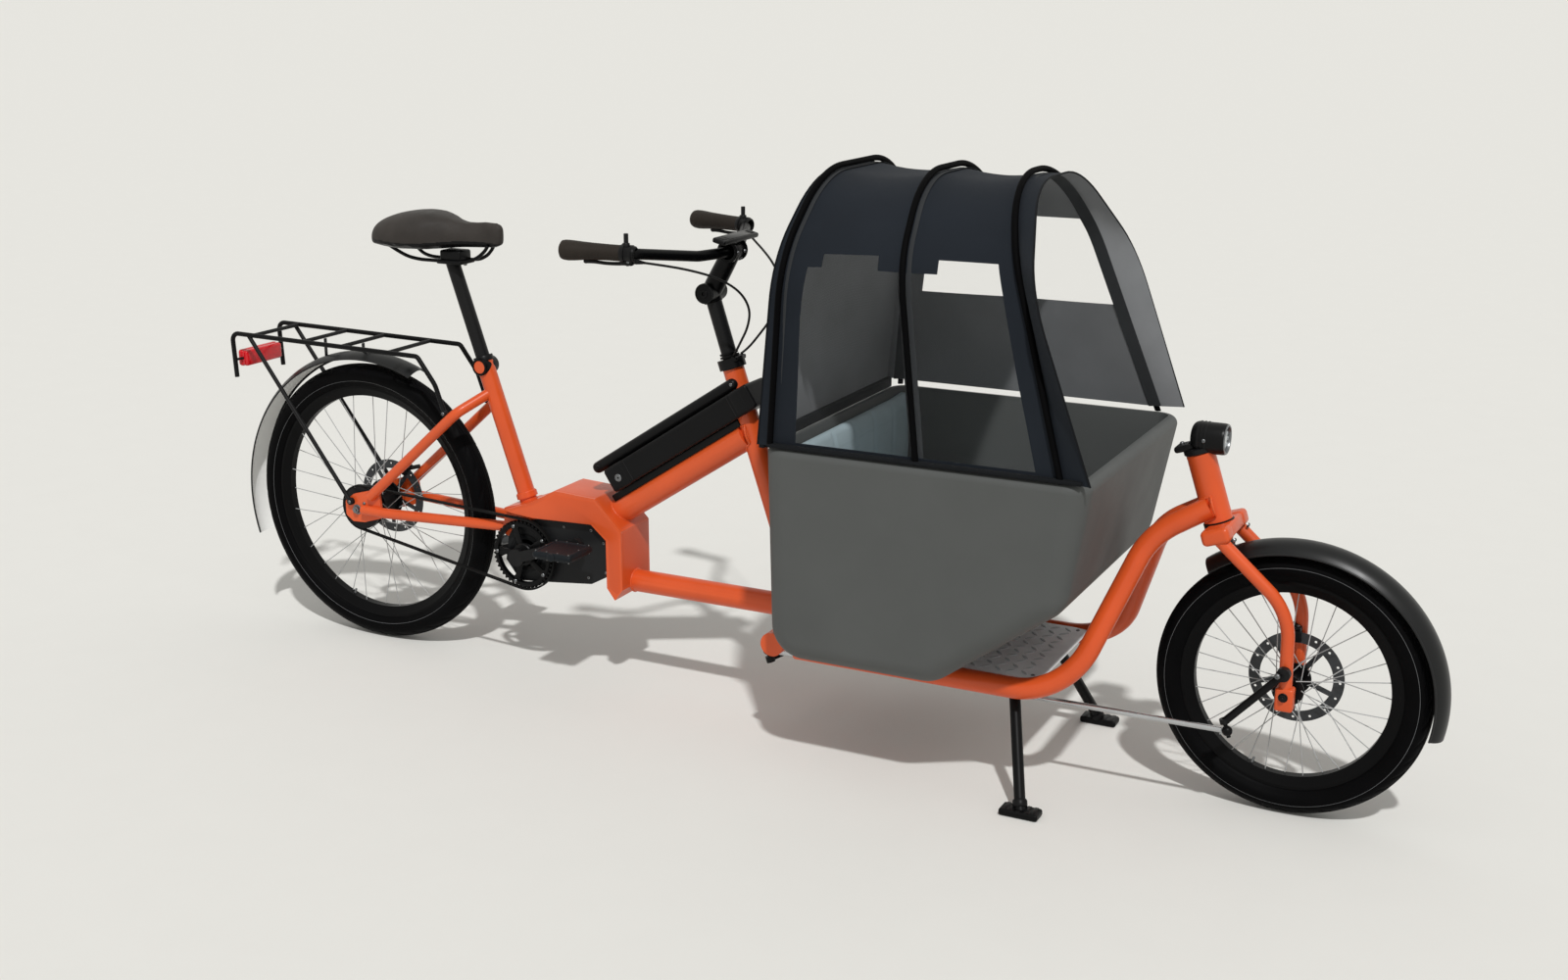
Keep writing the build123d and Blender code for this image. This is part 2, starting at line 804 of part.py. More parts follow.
def fender_band(x, z, radius, width, sag, start, end):
    """Arched fender strip round an axle between two angles from the front."""
    half = width / 2
    outer = ThreePointArc((radius - sag, -half), (radius, 0), (radius - sag, half))
    inner = ThreePointArc(
        (radius - sag - FENDER_T, half), (radius - FENDER_T, 0), (radius - sag - FENDER_T, -half)
    )
    section = make_face(
        Curve()
        + [
            outer,
            Line((radius - sag, half), (radius - sag - FENDER_T, half)),
            inner,
            Line((radius - sag - FENDER_T, -half), (radius - sag, -half)),
        ]
    )
    turned = Plane(origin=(x, 0, z), x_dir=(1, 0, 0), z_dir=(0, 0, 1)) * section
    band = revolve(turned, Axis((x, 0, z), (0, -1, 0)), end - start)
    return band.rotate(Axis((x, 0, z), (0, -1, 0)), start)


def rear_fender():
    """Rear fender with two posts up to the rack's cross bars."""
    band = fender_band(REAR_FENDER_X, REAR_FENDER_Z, REAR_FENDER_R, REAR_FENDER_W, REAR_FENDER_SAG, 67, 197)
    for x in (-128, -15):
        foot = REAR_FENDER_Z + math.sqrt(REAR_FENDER_R ** 2 - (x - REAR_FENDER_X) ** 2) - 2
        top = RACK_Z - (RACK_D - 2) / 2 - FIT
        band += Pos(x, 0, (foot + top) / 2) * Box(4, 20, top - foot)
    return band


def front_fender():
    """Front fender with a block up to the fork crown."""
    band = fender_band(WHEELBASE, FRONT_R, FRONT_FENDER_R, FRONT_FENDER_W, FRONT_FENDER_SAG, -12, 128)
    crown = front_axis(CROWN_Z)
    axle = Vector(WHEELBASE, 0, FRONT_R)
    way = (crown - axle).normalized()
    stud = bar(axle + way * (FRONT_FENDER_R - FENDER_T), crown, 24)
    return band + (stud - fork())


# ---------------------------------------------------------------- fork and tie rod

CROWN_H = 36.0
CROWN_L = 46.0
CROWN_BACK = 4.0
CROWN_Z = 530.0
FORK_LEG_D = 25.0
FORK_LEG_Y = 62.5


def tilted(z):
    """Plane square to the front steering axis at height z."""
    return Plane(origin=front_axis(z), x_dir=(math.cos(LEAN), 0, math.sin(LEAN)), z_dir=UP_AXIS)


def fork():
    """Crown, steerer and two curved legs."""
    crown = Box(CROWN_L, 2 * FORK_LEG_Y + 34, CROWN_H)
    crown = fillet(crown.edges(), 9)
    body = tilted(CROWN_Z) * (Pos(-CROWN_BACK, 0, 0) * crown)
    body += bar(front_axis(CROWN_Z), front_axis(FRONT_HEAD_TOP_Z - 4), STEERER_D)
    for side in (-1, 1):
        y = side * FORK_LEG_Y
        points = [(2006, y, 545), (2153, y, 412), (2162, y, 240)]
        body += bent_tube(points, FORK_LEG_D, [125])
        body -= along_y(WHEELBASE, FRONT_R, y - 30, y + 30, AXLE_D + 2 * FIT)
    return body


def ball_point(axis_point, z):
    """Centre of a tie rod ball beside a steering axis."""
    return Vector(axis_point(z).X + BALL_DX, BALL_Y, z)


def fork_arm():
    """Steering arm from the right fork leg to the tie rod's front ball."""
    ball = ball_point(front_axis, FRONT_BALL_Z)
    head = ball + UP_AXIS * (ROD_END_D / 2 + 9)
    root = Vector(2160, -FORK_LEG_Y - FORK_LEG_D / 2 - FIT - 8, 306)
    arm = bar(root, head, 15)
    arm += along_y(2160, 306, -FORK_LEG_Y - FORK_LEG_D / 2 - FIT - 14, -FORK_LEG_Y - FORK_LEG_D / 2 - FIT, 26)
    arm += bar(head - UP_AXIS * 4, head + UP_AXIS * 6, 18)
    arm += bar(ball - UP_AXIS * (ROD_END_D / 2 + 3), head, STUD_D)
    return arm


def tie_rod():
    """Silver rod between the two rod ends."""
    rear = ball_point(rear_axis, REAR_BALL_Z)
    front = ball_point(front_axis, FRONT_BALL_Z)
    way = (front - rear).normalized()
    return bar(rear + way * (ROD_END_D / 2 + FIT), front - way * (ROD_END_D / 2 + FIT), ROD_D)


def rod_ends():
    """Ball housings at both ends of the tie rod, bored for the studs."""
    ends = []
    for axis_point, z in ((rear_axis, REAR_BALL_Z), (front_axis, FRONT_BALL_Z)):
        ball = ball_point(axis_point, z)
        shell = Pos(ball) * Sphere(ROD_END_D / 2)
        shell -= bar(ball - UP_AXIS * 20, ball + UP_AXIS * 20, STUD_D + 2 * STUD_CLEAR)
        ends.append(shell)
    return ends


def steering_column():
    """Column through the long head tube with the lower steering arm."""
    ball = ball_point(rear_axis, REAR_BALL_Z)
    eye = ball - UP_AXIS * ARM_DROP
    foot = rear_axis(200)
    centre = foot + UP_AXIS * (eye - foot).dot(UP_AXIS)
    body = bar(centre - UP_AXIS * 8, rear_axis(912), STEERER_D)
    body += bar(centre - UP_AXIS * 7, centre + UP_AXIS * 7, 36)
    body += bar(centre, eye, 12)
    body += bar(eye - UP_AXIS * 7, eye + UP_AXIS * 7, 19)
    body += bar(eye, ball + UP_AXIS * (ROD_END_D / 2 + 3), STUD_D)
    body += bar(rear_axis(HEAD_TOP_Z + 1), rear_axis(HEAD_TOP_Z + CAP_H), CAP_D)
    body += along_y(KNOB_X, KNOB_Z, -KNOB_W / 2, KNOB_W / 2, KNOB_D)
    body += bar((KNOB_X, 0, KNOB_Z), (CLAMP_X, 0, CLAMP_Z), 30)
    body += along_y(CLAMP_X, CLAMP_Z, -CLAMP_HALF, CLAMP_HALF, 34)
    return body - along_y(CLAMP_X, CLAMP_Z, -CLAMP_HALF - 5, CLAMP_HALF + 5, BAR_D + 2 * POST_FIT)


BAR_END = (733.0, 268.0, 1021.6)
BAR_TURN = (872.0, 243.0, 1018.0)
BAR_KINK = (938.0, 88.0, 997.0)


def bar_points():
    """Corner points of the swept handlebar from right end to left end."""
    left = [BAR_KINK, BAR_TURN, BAR_END]
    right = [(x, -y, z) for x, y, z in reversed(left)]
    middle = [(CLAMP_X, -42, CLAMP_Z), (CLAMP_X, 42, CLAMP_Z)]
    return right + middle + left


def handlebar():
    """Swept-back handlebar."""
    return bent_tube(bar_points(), BAR_D, [45, 60, 40, 40, 60, 45])


def grip(side):
    """Grip that thickens to its end, on the bar's last run."""
    end = Vector(BAR_END[0], side * BAR_END[1], BAR_END[2])
    turn = Vector(BAR_TURN[0], side * BAR_TURN[1], BAR_TURN[2])
    way = (turn - end).normalized()
    start = end - way * 4
    face = outline([(0, 0), (GRIP_D / 2, 0), (GRIP_D / 2, 40), (GRIP_D / 2 - 2, GRIP_L), (0, GRIP_L)])
    stand = Plane(origin=start, z_dir=way)
    body = revolve(Plane(origin=start, x_dir=stand.x_dir, z_dir=-stand.y_dir) * face, Axis(start, way), 360)
    return body - bar(end - way * 0.1, end + way * (GRIP_L + 10), BAR_D + 2 * POST_FIT)


def bar_controls(side):
    """Brake clamp with its lever and a short peg on top."""
    end = Vector(BAR_END[0], side * BAR_END[1], BAR_END[2])
    turn = Vector(BAR_TURN[0], side * BAR_TURN[1], BAR_TURN[2])
    way = (turn - end).normalized()
    low = end + way * (GRIP_L - 2)
    high = low + way * 20
    body = bar(low, high, 36)
    middle = (low + high) * 0.5
    body += bar(middle, middle + Vector(0, 0, 38), 8)
    body += bar(middle, middle - Vector(0, 0, 30), 12)
    body += bar(middle - Vector(0, 0, 30), middle - way * 112 - Vector(0, 0, 42), 9)
    return body - bent_tube(bar_points(), BAR_D + 2 * POST_FIT, [45, 60, 40, 40, 60, 45])


def display():
    """Flat display on the stem."""
    slab_box = Box(20, 110, 12)
    slab_box = fillet(slab_box.edges().filter_by(Axis.Y), 4)
    body = Pos(CLAMP_X - 14, 0, CLAMP_Z + 21) * (Rot(0, 20, 0) * slab_box)
    return body - along_y(CLAMP_X, CLAMP_Z, -CLAMP_HALF - 1, CLAMP_HALF + 1, 34 + 2 * FIT)


# ---------------------------------------------------------------- box and tent

def tub_profile(inset, top):
    """Side outline of the box, moved in by inset, up to the given height."""
    slope = (BOX_CHIN_Z - BOX_BOTTOM_Z) / (BOX_CHIN_X - BOX_SLOPE_X)
    lean = (BOX_FRONT_X - BOX_CHIN_X) / (BOX_RIM_Z - BOX_CHIN_Z)
    face = outline(
        [
            (BOX_REAR_X, BOX_RIM_Z + 200),
            (BOX_REAR_X, BOX_BOTTOM_Z),
            (BOX_SLOPE_X, BOX_BOTTOM_Z),
            (BOX_CHIN_X, BOX_CHIN_Z),
            (BOX_FRONT_X + 200 * lean, BOX_RIM_Z + 200),
        ]
    )
    face = offset(face, amount=-inset, kind=Kind.INTERSECTION) if inset > 0 else face
    corners = face.vertices().sort_by(Axis.Y)[:3]
    face = fillet(corners, 70 - inset)
    return face & Pos(1500, top - 500) * Rectangle(2000, 1000)


def tub(inset, top):
    """Closed body of the box, moved in by inset."""
    rise = BOX_RIM_Z - BOX_BOTTOM_Z
    flare = (BOX_HALF_RIM - BOX_HALF_FLOOR) / rise
    body = slab(tub_profile(inset, top), -400, 400)
    low = BOX_BOTTOM_Z - 50
    high = BOX_RIM_Z + 300
    half_low = BOX_HALF_FLOOR + (low - BOX_BOTTOM_Z) * flare - inset
    half_high = BOX_HALF_FLOOR + (high - BOX_BOTTOM_Z) * flare - inset
    cross = outline([(-half_low, low), (half_low, low), (half_high, high), (-half_high, high)])
    prism = extrude(Plane(origin=(1000, 0, 0), x_dir=(0, 1, 0), z_dir=(1, 0, 0)) * cross, amount=1200)
    body = body & prism
    edges = [e for e in body.edges() if e.center().Z < top - 1]
    sides = [e for e in edges if abs(e.center().Y) > BOX_HALF_FLOOR - 60 - inset]
    return fillet(sides, BOX_EDGE_R - inset)


def box_shell():
    """Moulded box with an open top and a rounded rim."""
    outer = tub(0, BOX_RIM_Z)
    rim_edges = [e for e in outer.edges() if e.center().Z > BOX_RIM_Z - 1]
    outer = fillet(rim_edges, BOX_RIM_R)
    return outer - tub(BOX_WALL, BOX_RIM_Z + 60)


def bench():
    """Seat box at the rear of the load space."""
    low_x = BOX_REAR_X + BOX_WALL
    low_z = BOX_BOTTOM_Z + BOX_WALL
    seat = Box(BENCH_L, 2 * BOX_HALF_RIM, BENCH_H, align=(Align.MIN, Align.CENTER, Align.MIN))
    seat = Pos(low_x, 0, low_z) * seat
    seat = seat & tub(BOX_WALL + FIT, BOX_RIM_Z)
    hollow = Box(
        BENCH_L - BENCH_T,
        2 * BOX_HALF_FLOOR - 2 * BOX_WALL - 2 * BENCH_T,
        BENCH_H - BENCH_T,
        align=(Align.MIN, Align.CENTER, Align.MIN),
    )
    return seat - Pos(low_x - 1, 0, low_z - 1) * hollow


def cushion_space():
    """Inside of the box, a little clear of its walls."""
    return tub(BOX_WALL + FIT + 1, BOX_RIM_Z - 4)


def seat_cushion():
    """Seat cushion on the bench."""
    low_x = BOX_REAR_X + BOX_WALL
    low_z = BOX_BOTTOM_Z + BOX_WALL + BENCH_H + FIT
    pad = Box(BENCH_L, 2 * BOX_HALF_RIM, CUSHION_T, align=(Align.MIN, Align.CENTER, Align.MIN))
    return (Pos(low_x, 0, low_z) * pad) & cushion_space()


def back_cushion():
    """Back cushion against the box's rear wall."""
    low_x = BOX_REAR_X + BOX_WALL
    low_z = BOX_BOTTOM_Z + BOX_WALL + BENCH_H + CUSHION_T + 2 * FIT
    pad = Box(BACKREST_T, 2 * BOX_HALF_RIM, 400, align=(Align.MIN, Align.CENTER, Align.MIN))
    return (Pos(low_x, 0, low_z) * pad) & cushion_space()


def hoop_plane(base_x, top_x):
    """Leaning plane of a hoop: local x is Y, local y runs up the hoop."""
    rise = HOOP_TOP_Z - BOX_RIM_Z
    up = Vector(top_x - base_x, 0, rise).normalized()
    return Plane(origin=(base_x, 0, BOX_RIM_Z), x_dir=(0, 1, 0), z_dir=Vector(0, 1, 0).cross(up))


def hoop_height(base_x, top_x):
    """Length of a hoop's middle line from the rim to the crown."""
    return math.hypot(top_x - base_x, HOOP_TOP_Z - BOX_RIM_Z)


def arch(leg_y, leg_z, crown_y, height, inset, low):
    """Corner points and radii of an arch moved in parallel to itself by inset."""
    corners = [(HOOP_BASE_Y, 0.0), (leg_y, leg_z), (crown_y, height), (-crown_y, height)]
    corners += [(-leg_y, leg_z), (-HOOP_BASE_Y, 0.0)]
    lines = []
    for (y0, z0), (y1, z1) in zip(corners, corners[1:]):
        run = math.hypot(y1 - y0, z1 - z0)
        normal = (-(z1 - z0) / run, (y1 - y0) / run)
        reach = normal[0] * y0 + normal[1] * z0 + inset
        lines.append((normal[0], normal[1], reach))
    points = []
    for (a0, b0, c0), (a1, b1, c1) in zip(lines, lines[1:]):
        span = a0 * b1 - a1 * b0
        points.append(((c0 * b1 - c1 * b0) / span, (a0 * c1 - a1 * c0) / span))
    a0, b0, c0 = lines[0]
    first = ((c0 - b0 * low) / a0, low)
    radii = [r - inset for r in HOOP_RADII]
    return [first] + points + [(-first[0], low)], radii


def hoop(number):
    """One bent hoop of the tent."""
    base_x = HOOP_BASE_X[number]
    top_x = HOOP_TOP_X[number]
    height = hoop_height(base_x, top_x)
    plane = hoop_plane(base_x, top_x)
    leg_y = HOOP_LEG_Y[number]
    points, radii = arch(leg_y, HOOP_LEG_Z[number], HOOP_CROWN_Y[number], height, HOOP_D / 2, -10)
    world = [plane.from_local_coords((x, y, 0)) for x, y in points]
    tube = bent_tube([(p.X, p.Y, p.Z) for p in world], HOOP_D, radii)
    below = Box(2000, 2000, 200, align=(Align.CENTER, Align.CENTER, Align.MAX))
    return tube - Pos(base_x, 0, BOX_RIM_Z + FIT) * below


def fabric_stations():
    """Base and top stations, leg and crown values of the fabric's sections."""
    stations = []
    for n in range(3):
        stations.append((HOOP_BASE_X[n], HOOP_TOP_X[n], HOOP_LEG_Y[n], HOOP_LEG_Z[n], HOOP_CROWN_Y[n]))
    first = stations[0]
    last = stations[-1]
    rear = (first[0] - FABRIC_REAR, first[1] - FABRIC_REAR / 2) + first[2:]
    front = (last[0] + FABRIC_FRONT, last[1] + FABRIC_FRONT / 2) + last[2:]
    return [rear] + stations + [front]


def fabric_body(inset, low, shift_rear, shift_front):
    """Closed body under the fabric, moved in by inset."""
    faces = []
    stations = fabric_stations()
    last = len(stations) - 1
    for number, (base_x, top_x, leg_y, leg_z, crown_y) in enumerate(stations):
        shift = shift_rear if number == 0 else 0
        shift = shift_front if number == last else shift
        plane = hoop_plane(base_x + shift, top_x + shift)
        height = hoop_height(base_x, top_x)
        points, radii = arch(leg_y, leg_z, crown_y, height, inset, low)
        path = FilletPolyline(*points, radius=radii)
        face = make_face(Curve() + [path, Line(points[-1], points[0])])
        faces.append(plane * face)
    return loft(faces, ruled=True)


def tent_solid():
    """Tent cover: roof, sides and rear wall, open in front and below."""
    outer_inset = HOOP_D + HOOP_GAP
    outer = fabric_body(outer_inset, FABRIC_HEM, 0, 0)
    inner = fabric_body(outer_inset + FABRIC_T, FABRIC_HEM - 20, FABRIC_T, 1)
    return outer - inner


WINDOW_NEAR = [(1292, 760), (1300, 1010), (1365, 1030), (1650, 1060), (1700, 870), (1745, 712), (1285, 712)]
WINDOW_FAR = [(1545, 899), (1508, 1060), (1628, 1060), (1700, 897)]


def window_prism(points, side, gap):
    """Prism through one side of the tent for a window."""
    face = rounded(points, 12)
    face = offset(face, amount=-gap) if gap > 0 else face
    low, high = (40, 500) if side > 0 else (-500, -40)
    return slab(face, low, high)


def tent_cover():
    """Tent cover with its two window openings cut out."""
    cover = tent_solid()
    cover -= window_prism(WINDOW_NEAR, -1, 0)
    cover -= window_prism(WINDOW_FAR, 1, 0)
    return cover


def tent_windows():
    """Clear window films that fill the openings."""
    whole = tent_solid()
    near = whole & window_prism(WINDOW_NEAR, -1, FIT)
    far = whole & window_prism(WINDOW_FAR, 1, FIT)
    return [near, far]


# ---------------------------------------------------------------- stand and front lamp

def kickstand():
    """Two-legged stand on one shaft, with flat feet."""
    body = along_y(PIVOT_X, TUBE_Z, -SHAFT_Y, SHAFT_Y, PIVOT_D)
    for side in (-1, 1):
        foot = Pos(FOOT_X, side * FOOT_Y, FOOT_T / 2) * fillet(Box(FOOT_L, FOOT_W, FOOT_T).edges(), 5)
        body += foot
        body += bar((PIVOT_X, side * LEG_TOP_Y, TUBE_Z), (FOOT_X, side * FOOT_Y, FOOT_T / 2), LEG_D)
    return body


def headset_cups():
    """Bearing cups of both head tubes."""
    cups = []
    for axis_point, low, high in (
        (rear_axis, HEAD_BOTTOM_Z - CUP_H, HEAD_BOTTOM_Z - FIT),
        (front_axis, FRONT_HEAD_BOTTOM_Z - CUP_H + 1.5, FRONT_HEAD_BOTTOM_Z - FIT),
    ):
        cup = bar(axis_point(low), axis_point(high), HEAD_D + 4)
        cup -= bar(axis_point(low - 20), axis_point(high + 20), STEERER_D + 2 * FIT)
        cups.append(cup)
    return cups


def headlight():
    """Front lamp on a cap over the front head tube."""
    cap = bar(front_axis(FRONT_HEAD_TOP_Z + FIT), front_axis(FRONT_HEAD_TOP_Z + 12), FRONT_HEAD_D + 6)
    lamp = Cylinder(29, 62)
    lamp = fillet(lamp.edges(), 9)
    lamp = Pos(1984, 0, 720) * (Rot(0, 90, 0) * lamp)
    return cap + lamp


def caliper(x, z, y, turn, reach):
    """Brake caliper over a disc's edge."""
    body = Box(46, 34, 26)
    body = fillet(body.edges(), 5)
    body -= Box(60, ROTOR_T + 10, 60)
    return body


# ---------------------------------------------------------------- cables

CABLE_RIGHT = [
    (884, -232, 1001),
    (918, -196, 992),
    (958, -158, 980),
    (1000, -120, 962),
    (1034, -90, 934),
    (1046, -68, 895),
    (1032, -52, 854),
    (1008, -40, 818),
    (988, -28, 790),
    (978, -17, 781.2),
]
CABLE_LEFT = [(x, -y, z) for x, y, z in CABLE_RIGHT]


def cable_radii(points):
    """Arc radius for each corner of a cable route."""
    radii = []
    for before, here, after in zip(points, points[1:], points[2:]):
        first = Vector(*here) - Vector(*before)
        second = Vector(*after) - Vector(*here)
        turn = math.radians(first.get_angle(second))
        radii.append(0.45 * min(first.length, second.length) / math.tan(turn / 2))
    return radii


def cable(points):
    """One brake cable."""
    radii = cable_radii(points)
    print("cable radii", [round(r, 1) for r in radii])
    return bent_tube(points, CABLE_D, radii)


# ---------------------------------------------------------------- write

def write(name, shapes):
    """Write one node's solids, moved so that the origin is under the middle."""
    shapes = shapes if isinstance(shapes, (list, tuple)) else [shapes]
    solids = []
    for shape in shapes:
        moved = Pos(-MID_X, 0, 0) * shape
        solids += moved.solids()
    body = solids[0] if len(solids) == 1 else Compound(children=solids)
    export_step(body, f"parts/{name}.step")


def main():
    """Build every piece."""
    os.makedirs("parts", exist_ok=True)
    write("rear_frame", rear_frame())
    write("middle_frame", middle_frame())
    write("front_frame", front_frame())
    write("step_plate", step_plate())
    write("motor", motor())
    write("battery", battery())
    write("battery_mount", battery_mount())
    write("top_bar", top_bar())
    write("seat_post", seat_post())
    write("saddle", saddle())
    write("rack", rack())
    write("tail_light", tail_light())
    write("rear_fender", rear_fender())
    write("belt", belt())
    write("headset_cups", headset_cups())
    write("headlight", headlight())
    write("box_shell", box_shell())
    write("bench", bench())
    write("seat_cushion", seat_cushion())
    write("back_cushion", back_cushion())
    write("tent_hoops", [hoop(n) for n in range(3)])
    write("tent_cover", tent_cover())
    write("tent_windows", tent_windows())
    write("steering_column", steering_column())
    write("handlebar", handlebar())
    write("grips", [grip(-1), grip(1)])
    write("bar_controls", [bar_controls(-1), bar_controls(1)])
    write("display", display())
    write("brake_cables", [cable(CABLE_RIGHT), cable(CABLE_LEFT)])
    write("tie_rod", tie_rod())
    write("rod_ends", rod_ends())
    write("fork", fork())
    write("fork_arm", fork_arm())
    write("front_fender", front_fender())
    write("front_tyre", tyre(WHEELBASE, FRONT_R, FRONT_R))
    write("front_rim", rim(WHEELBASE, FRONT_R, FRONT_R))
    write("front_spokes", spokes(WHEELBASE, FRONT_R, FRONT_R, FRONT_FLANGE_Y, FRONT_FLANGE_D))
    write("front_hub", hub(WHEELBASE, FRONT_R, FRONT_FLANGE_Y, FRONT_FLANGE_D, FRONT_HUB_D, 49.7))
    write("front_rotor", rotor(WHEELBASE, FRONT_R, FRONT_ROTOR_Y))
    write("rear_tyre", tyre(0, REAR_R, REAR_R))
    write("rear_rim", rim(0, REAR_R, REAR_R))
    write("rear_spokes", spokes(0, REAR_R, REAR_R, REAR_FLANGE_Y, REAR_FLANGE_D))
    write("rear_hub", hub(0, REAR_R, REAR_FLANGE_Y, REAR_FLANGE_D, REAR_HUB_D, 68.7))
    write("rear_rotor", rotor(0, REAR_R, REAR_ROTOR_Y))
    write("sprocket", sprocket())
    write("chainring", chainring())
    write("crank_arms", crank_arms())
    write("pedal_right", pedal(-1))
    write("pedal_left", pedal(1))
    write("kickstand", kickstand())


main()
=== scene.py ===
import math
import bmesh
import bpy
import numpy as np
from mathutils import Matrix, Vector


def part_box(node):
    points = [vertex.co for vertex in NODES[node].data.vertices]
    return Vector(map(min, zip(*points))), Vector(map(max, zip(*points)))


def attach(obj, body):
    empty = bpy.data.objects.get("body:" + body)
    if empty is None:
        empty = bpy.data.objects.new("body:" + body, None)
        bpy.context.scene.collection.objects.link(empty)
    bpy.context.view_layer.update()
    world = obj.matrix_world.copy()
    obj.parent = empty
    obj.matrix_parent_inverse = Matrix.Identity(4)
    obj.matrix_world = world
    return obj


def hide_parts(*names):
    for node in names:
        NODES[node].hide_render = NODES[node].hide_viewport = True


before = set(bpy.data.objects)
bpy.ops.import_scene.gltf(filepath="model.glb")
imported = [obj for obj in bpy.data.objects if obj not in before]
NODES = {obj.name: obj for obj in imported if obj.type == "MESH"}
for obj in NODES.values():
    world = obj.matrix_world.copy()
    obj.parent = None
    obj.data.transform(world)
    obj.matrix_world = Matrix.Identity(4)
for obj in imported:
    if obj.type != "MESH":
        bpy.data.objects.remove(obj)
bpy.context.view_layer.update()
MID = 1.033  # the scene's origin ahead of the rear axle, in metres
MID_MM = MID * 1000
SKY = 0.47
SUN = 2.05
WHEELBASE = 2161
REAR_R = 335  # tyre radius, which is also the axle's height
FRONT_R = 258
FRONT_ROTOR_Y = 42.0
REAR_ROTOR_Y = 56.0
ROTOR_BOLTS = 6
ROTOR_BOLT_CIRCLE = 16.5
RIM_DEPTH = 27
TYRE_DEPTH = 27
VALVE_ANGLE = 250


def at(x, y, z):
    """Bike coordinates in millimetres from the rear axle to scene metres."""
    return Vector((x / 1000 - MID, y / 1000, z / 1000))


def srgb(r, g, b):
    """Linear colour from 0-255 display values."""
    def lin(v):
        v /= 255
        return v / 12.92 if v <= 0.04045 else ((v + 0.055) / 1.055) ** 2.4
    return (lin(r), lin(g), lin(b), 1.0)


# ------------------------------------------------------------ camera and light
camera_data = bpy.data.cameras.new("camera")
camera_data.lens = 41.57
camera_data.sensor_width = 36.0
camera_data.clip_end = 3000
camera = bpy.data.objects.new("camera", camera_data)
bpy.context.scene.collection.objects.link(camera)
camera.location = at(2743, -3278, 1540)
look = Vector((-0.4337, 0.8590, -0.2721))
camera.rotation_euler = look.to_track_quat("-Z", "Y").to_euler()
bpy.context.scene.camera = camera
bpy.context.scene.view_settings.view_transform = "Standard"

# ------------------------------------------------------------ brake cables
CABLE_ROUTE = [
    (884, -232, 1001), (918, -196, 992), (958, -158, 980), (1000, -120, 962), (1034, -90, 934),
    (1046, -68, 895), (1032, -52, 854), (1008, -40, 818), (988, -28, 790), (978, -17, 781.2),
]


def cable(name, side):
    """One brake cable from its lever down to the top of the head tube."""
    data = bpy.data.curves.new(name, "CURVE")
    data.dimensions = "3D"
    data.bevel_depth = 1.0
    data.bevel_resolution = 5
    data.resolution_u = 16
    data.use_fill_caps = True
    spline = data.splines.new("NURBS")
    spline.points.add(len(CABLE_ROUTE) - 1)
    for point, (x, y, z) in zip(spline.points, CABLE_ROUTE):
        point.co = (*at(x, y * side, z), 1.0)
        point.radius = 0.0025
    spline.order_u = 3
    spline.use_endpoint_u = True
    obj = bpy.data.objects.new(name, data)
    bpy.context.scene.collection.objects.link(obj)
    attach(obj, "steering")
    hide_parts("brake_cables")
    x, y, z = CABLE_ROUTE[0]
    return obj


cables = [cable("brake_cable_right", 1), cable("brake_cable_left", -1)]


world = bpy.data.worlds.new("world")
bpy.context.scene.world = world
world.use_nodes = True
background = world.node_tree.nodes["Background"]
background.inputs["Color"].default_value = (1.0, 0.995, 0.975, 1)
background.inputs["Strength"].default_value = SKY
paths = world.node_tree.nodes.new("ShaderNodeLightPath")
seen = world.node_tree.nodes.new("ShaderNodeBackground")
seen.inputs["Color"].default_value = srgb(230, 229, 224)
either = world.node_tree.nodes.new("ShaderNodeMath")
either.operation = "MAXIMUM"
world.node_tree.links.new(paths.outputs["Is Camera Ray"], either.inputs[0])
world.node_tree.links.new(paths.outputs["Is Transmission Ray"], either.inputs[1])
direct = world.node_tree.nodes.new("ShaderNodeMath")
direct.operation = "MAXIMUM"
world.node_tree.links.new(either.outputs["Value"], direct.inputs[0])
world.node_tree.links.new(paths.outputs["Is Glossy Ray"], direct.inputs[1])
choose = world.node_tree.nodes.new("ShaderNodeMixShader")
world.node_tree.links.new(direct.outputs["Value"], choose.inputs["Fac"])
world.node_tree.links.new(background.outputs["Background"], choose.inputs[1])
world.node_tree.links.new(seen.outputs["Background"], choose.inputs[2])
world.node_tree.links.new(choose.outputs["Shader"],
    world.node_tree.nodes["World Output"].inputs["Surface"])


def lamp(name, kind, energy, towards, size, color=(1, 1, 1), location=None):
    data = bpy.data.lights.new(name, kind)
    data.energy = energy
    data.color = color
    if kind == "SUN":
        data.angle = size
    else:
        data.size = size
    obj = bpy.data.objects.new(name, data)
    bpy.context.scene.collection.objects.link(obj)
    if location is not None:
        obj.location = location
    obj.rotation_euler = Vector(towards).to_track_quat("-Z", "Y").to_euler()
    return obj


lamp("sun", "SUN", SUN, (-0.41, 0.62, -1.0), math.radians(2.2))


# ------------------------------------------------------------ materials
def nodes_of(name):
    material = bpy.data.materials.new(name)
    material.use_nodes = True
    tree = material.node_tree
    return material, tree, tree.nodes["Principled BSDF"]


def link(tree, a, b):
    tree.links.new(a, b)


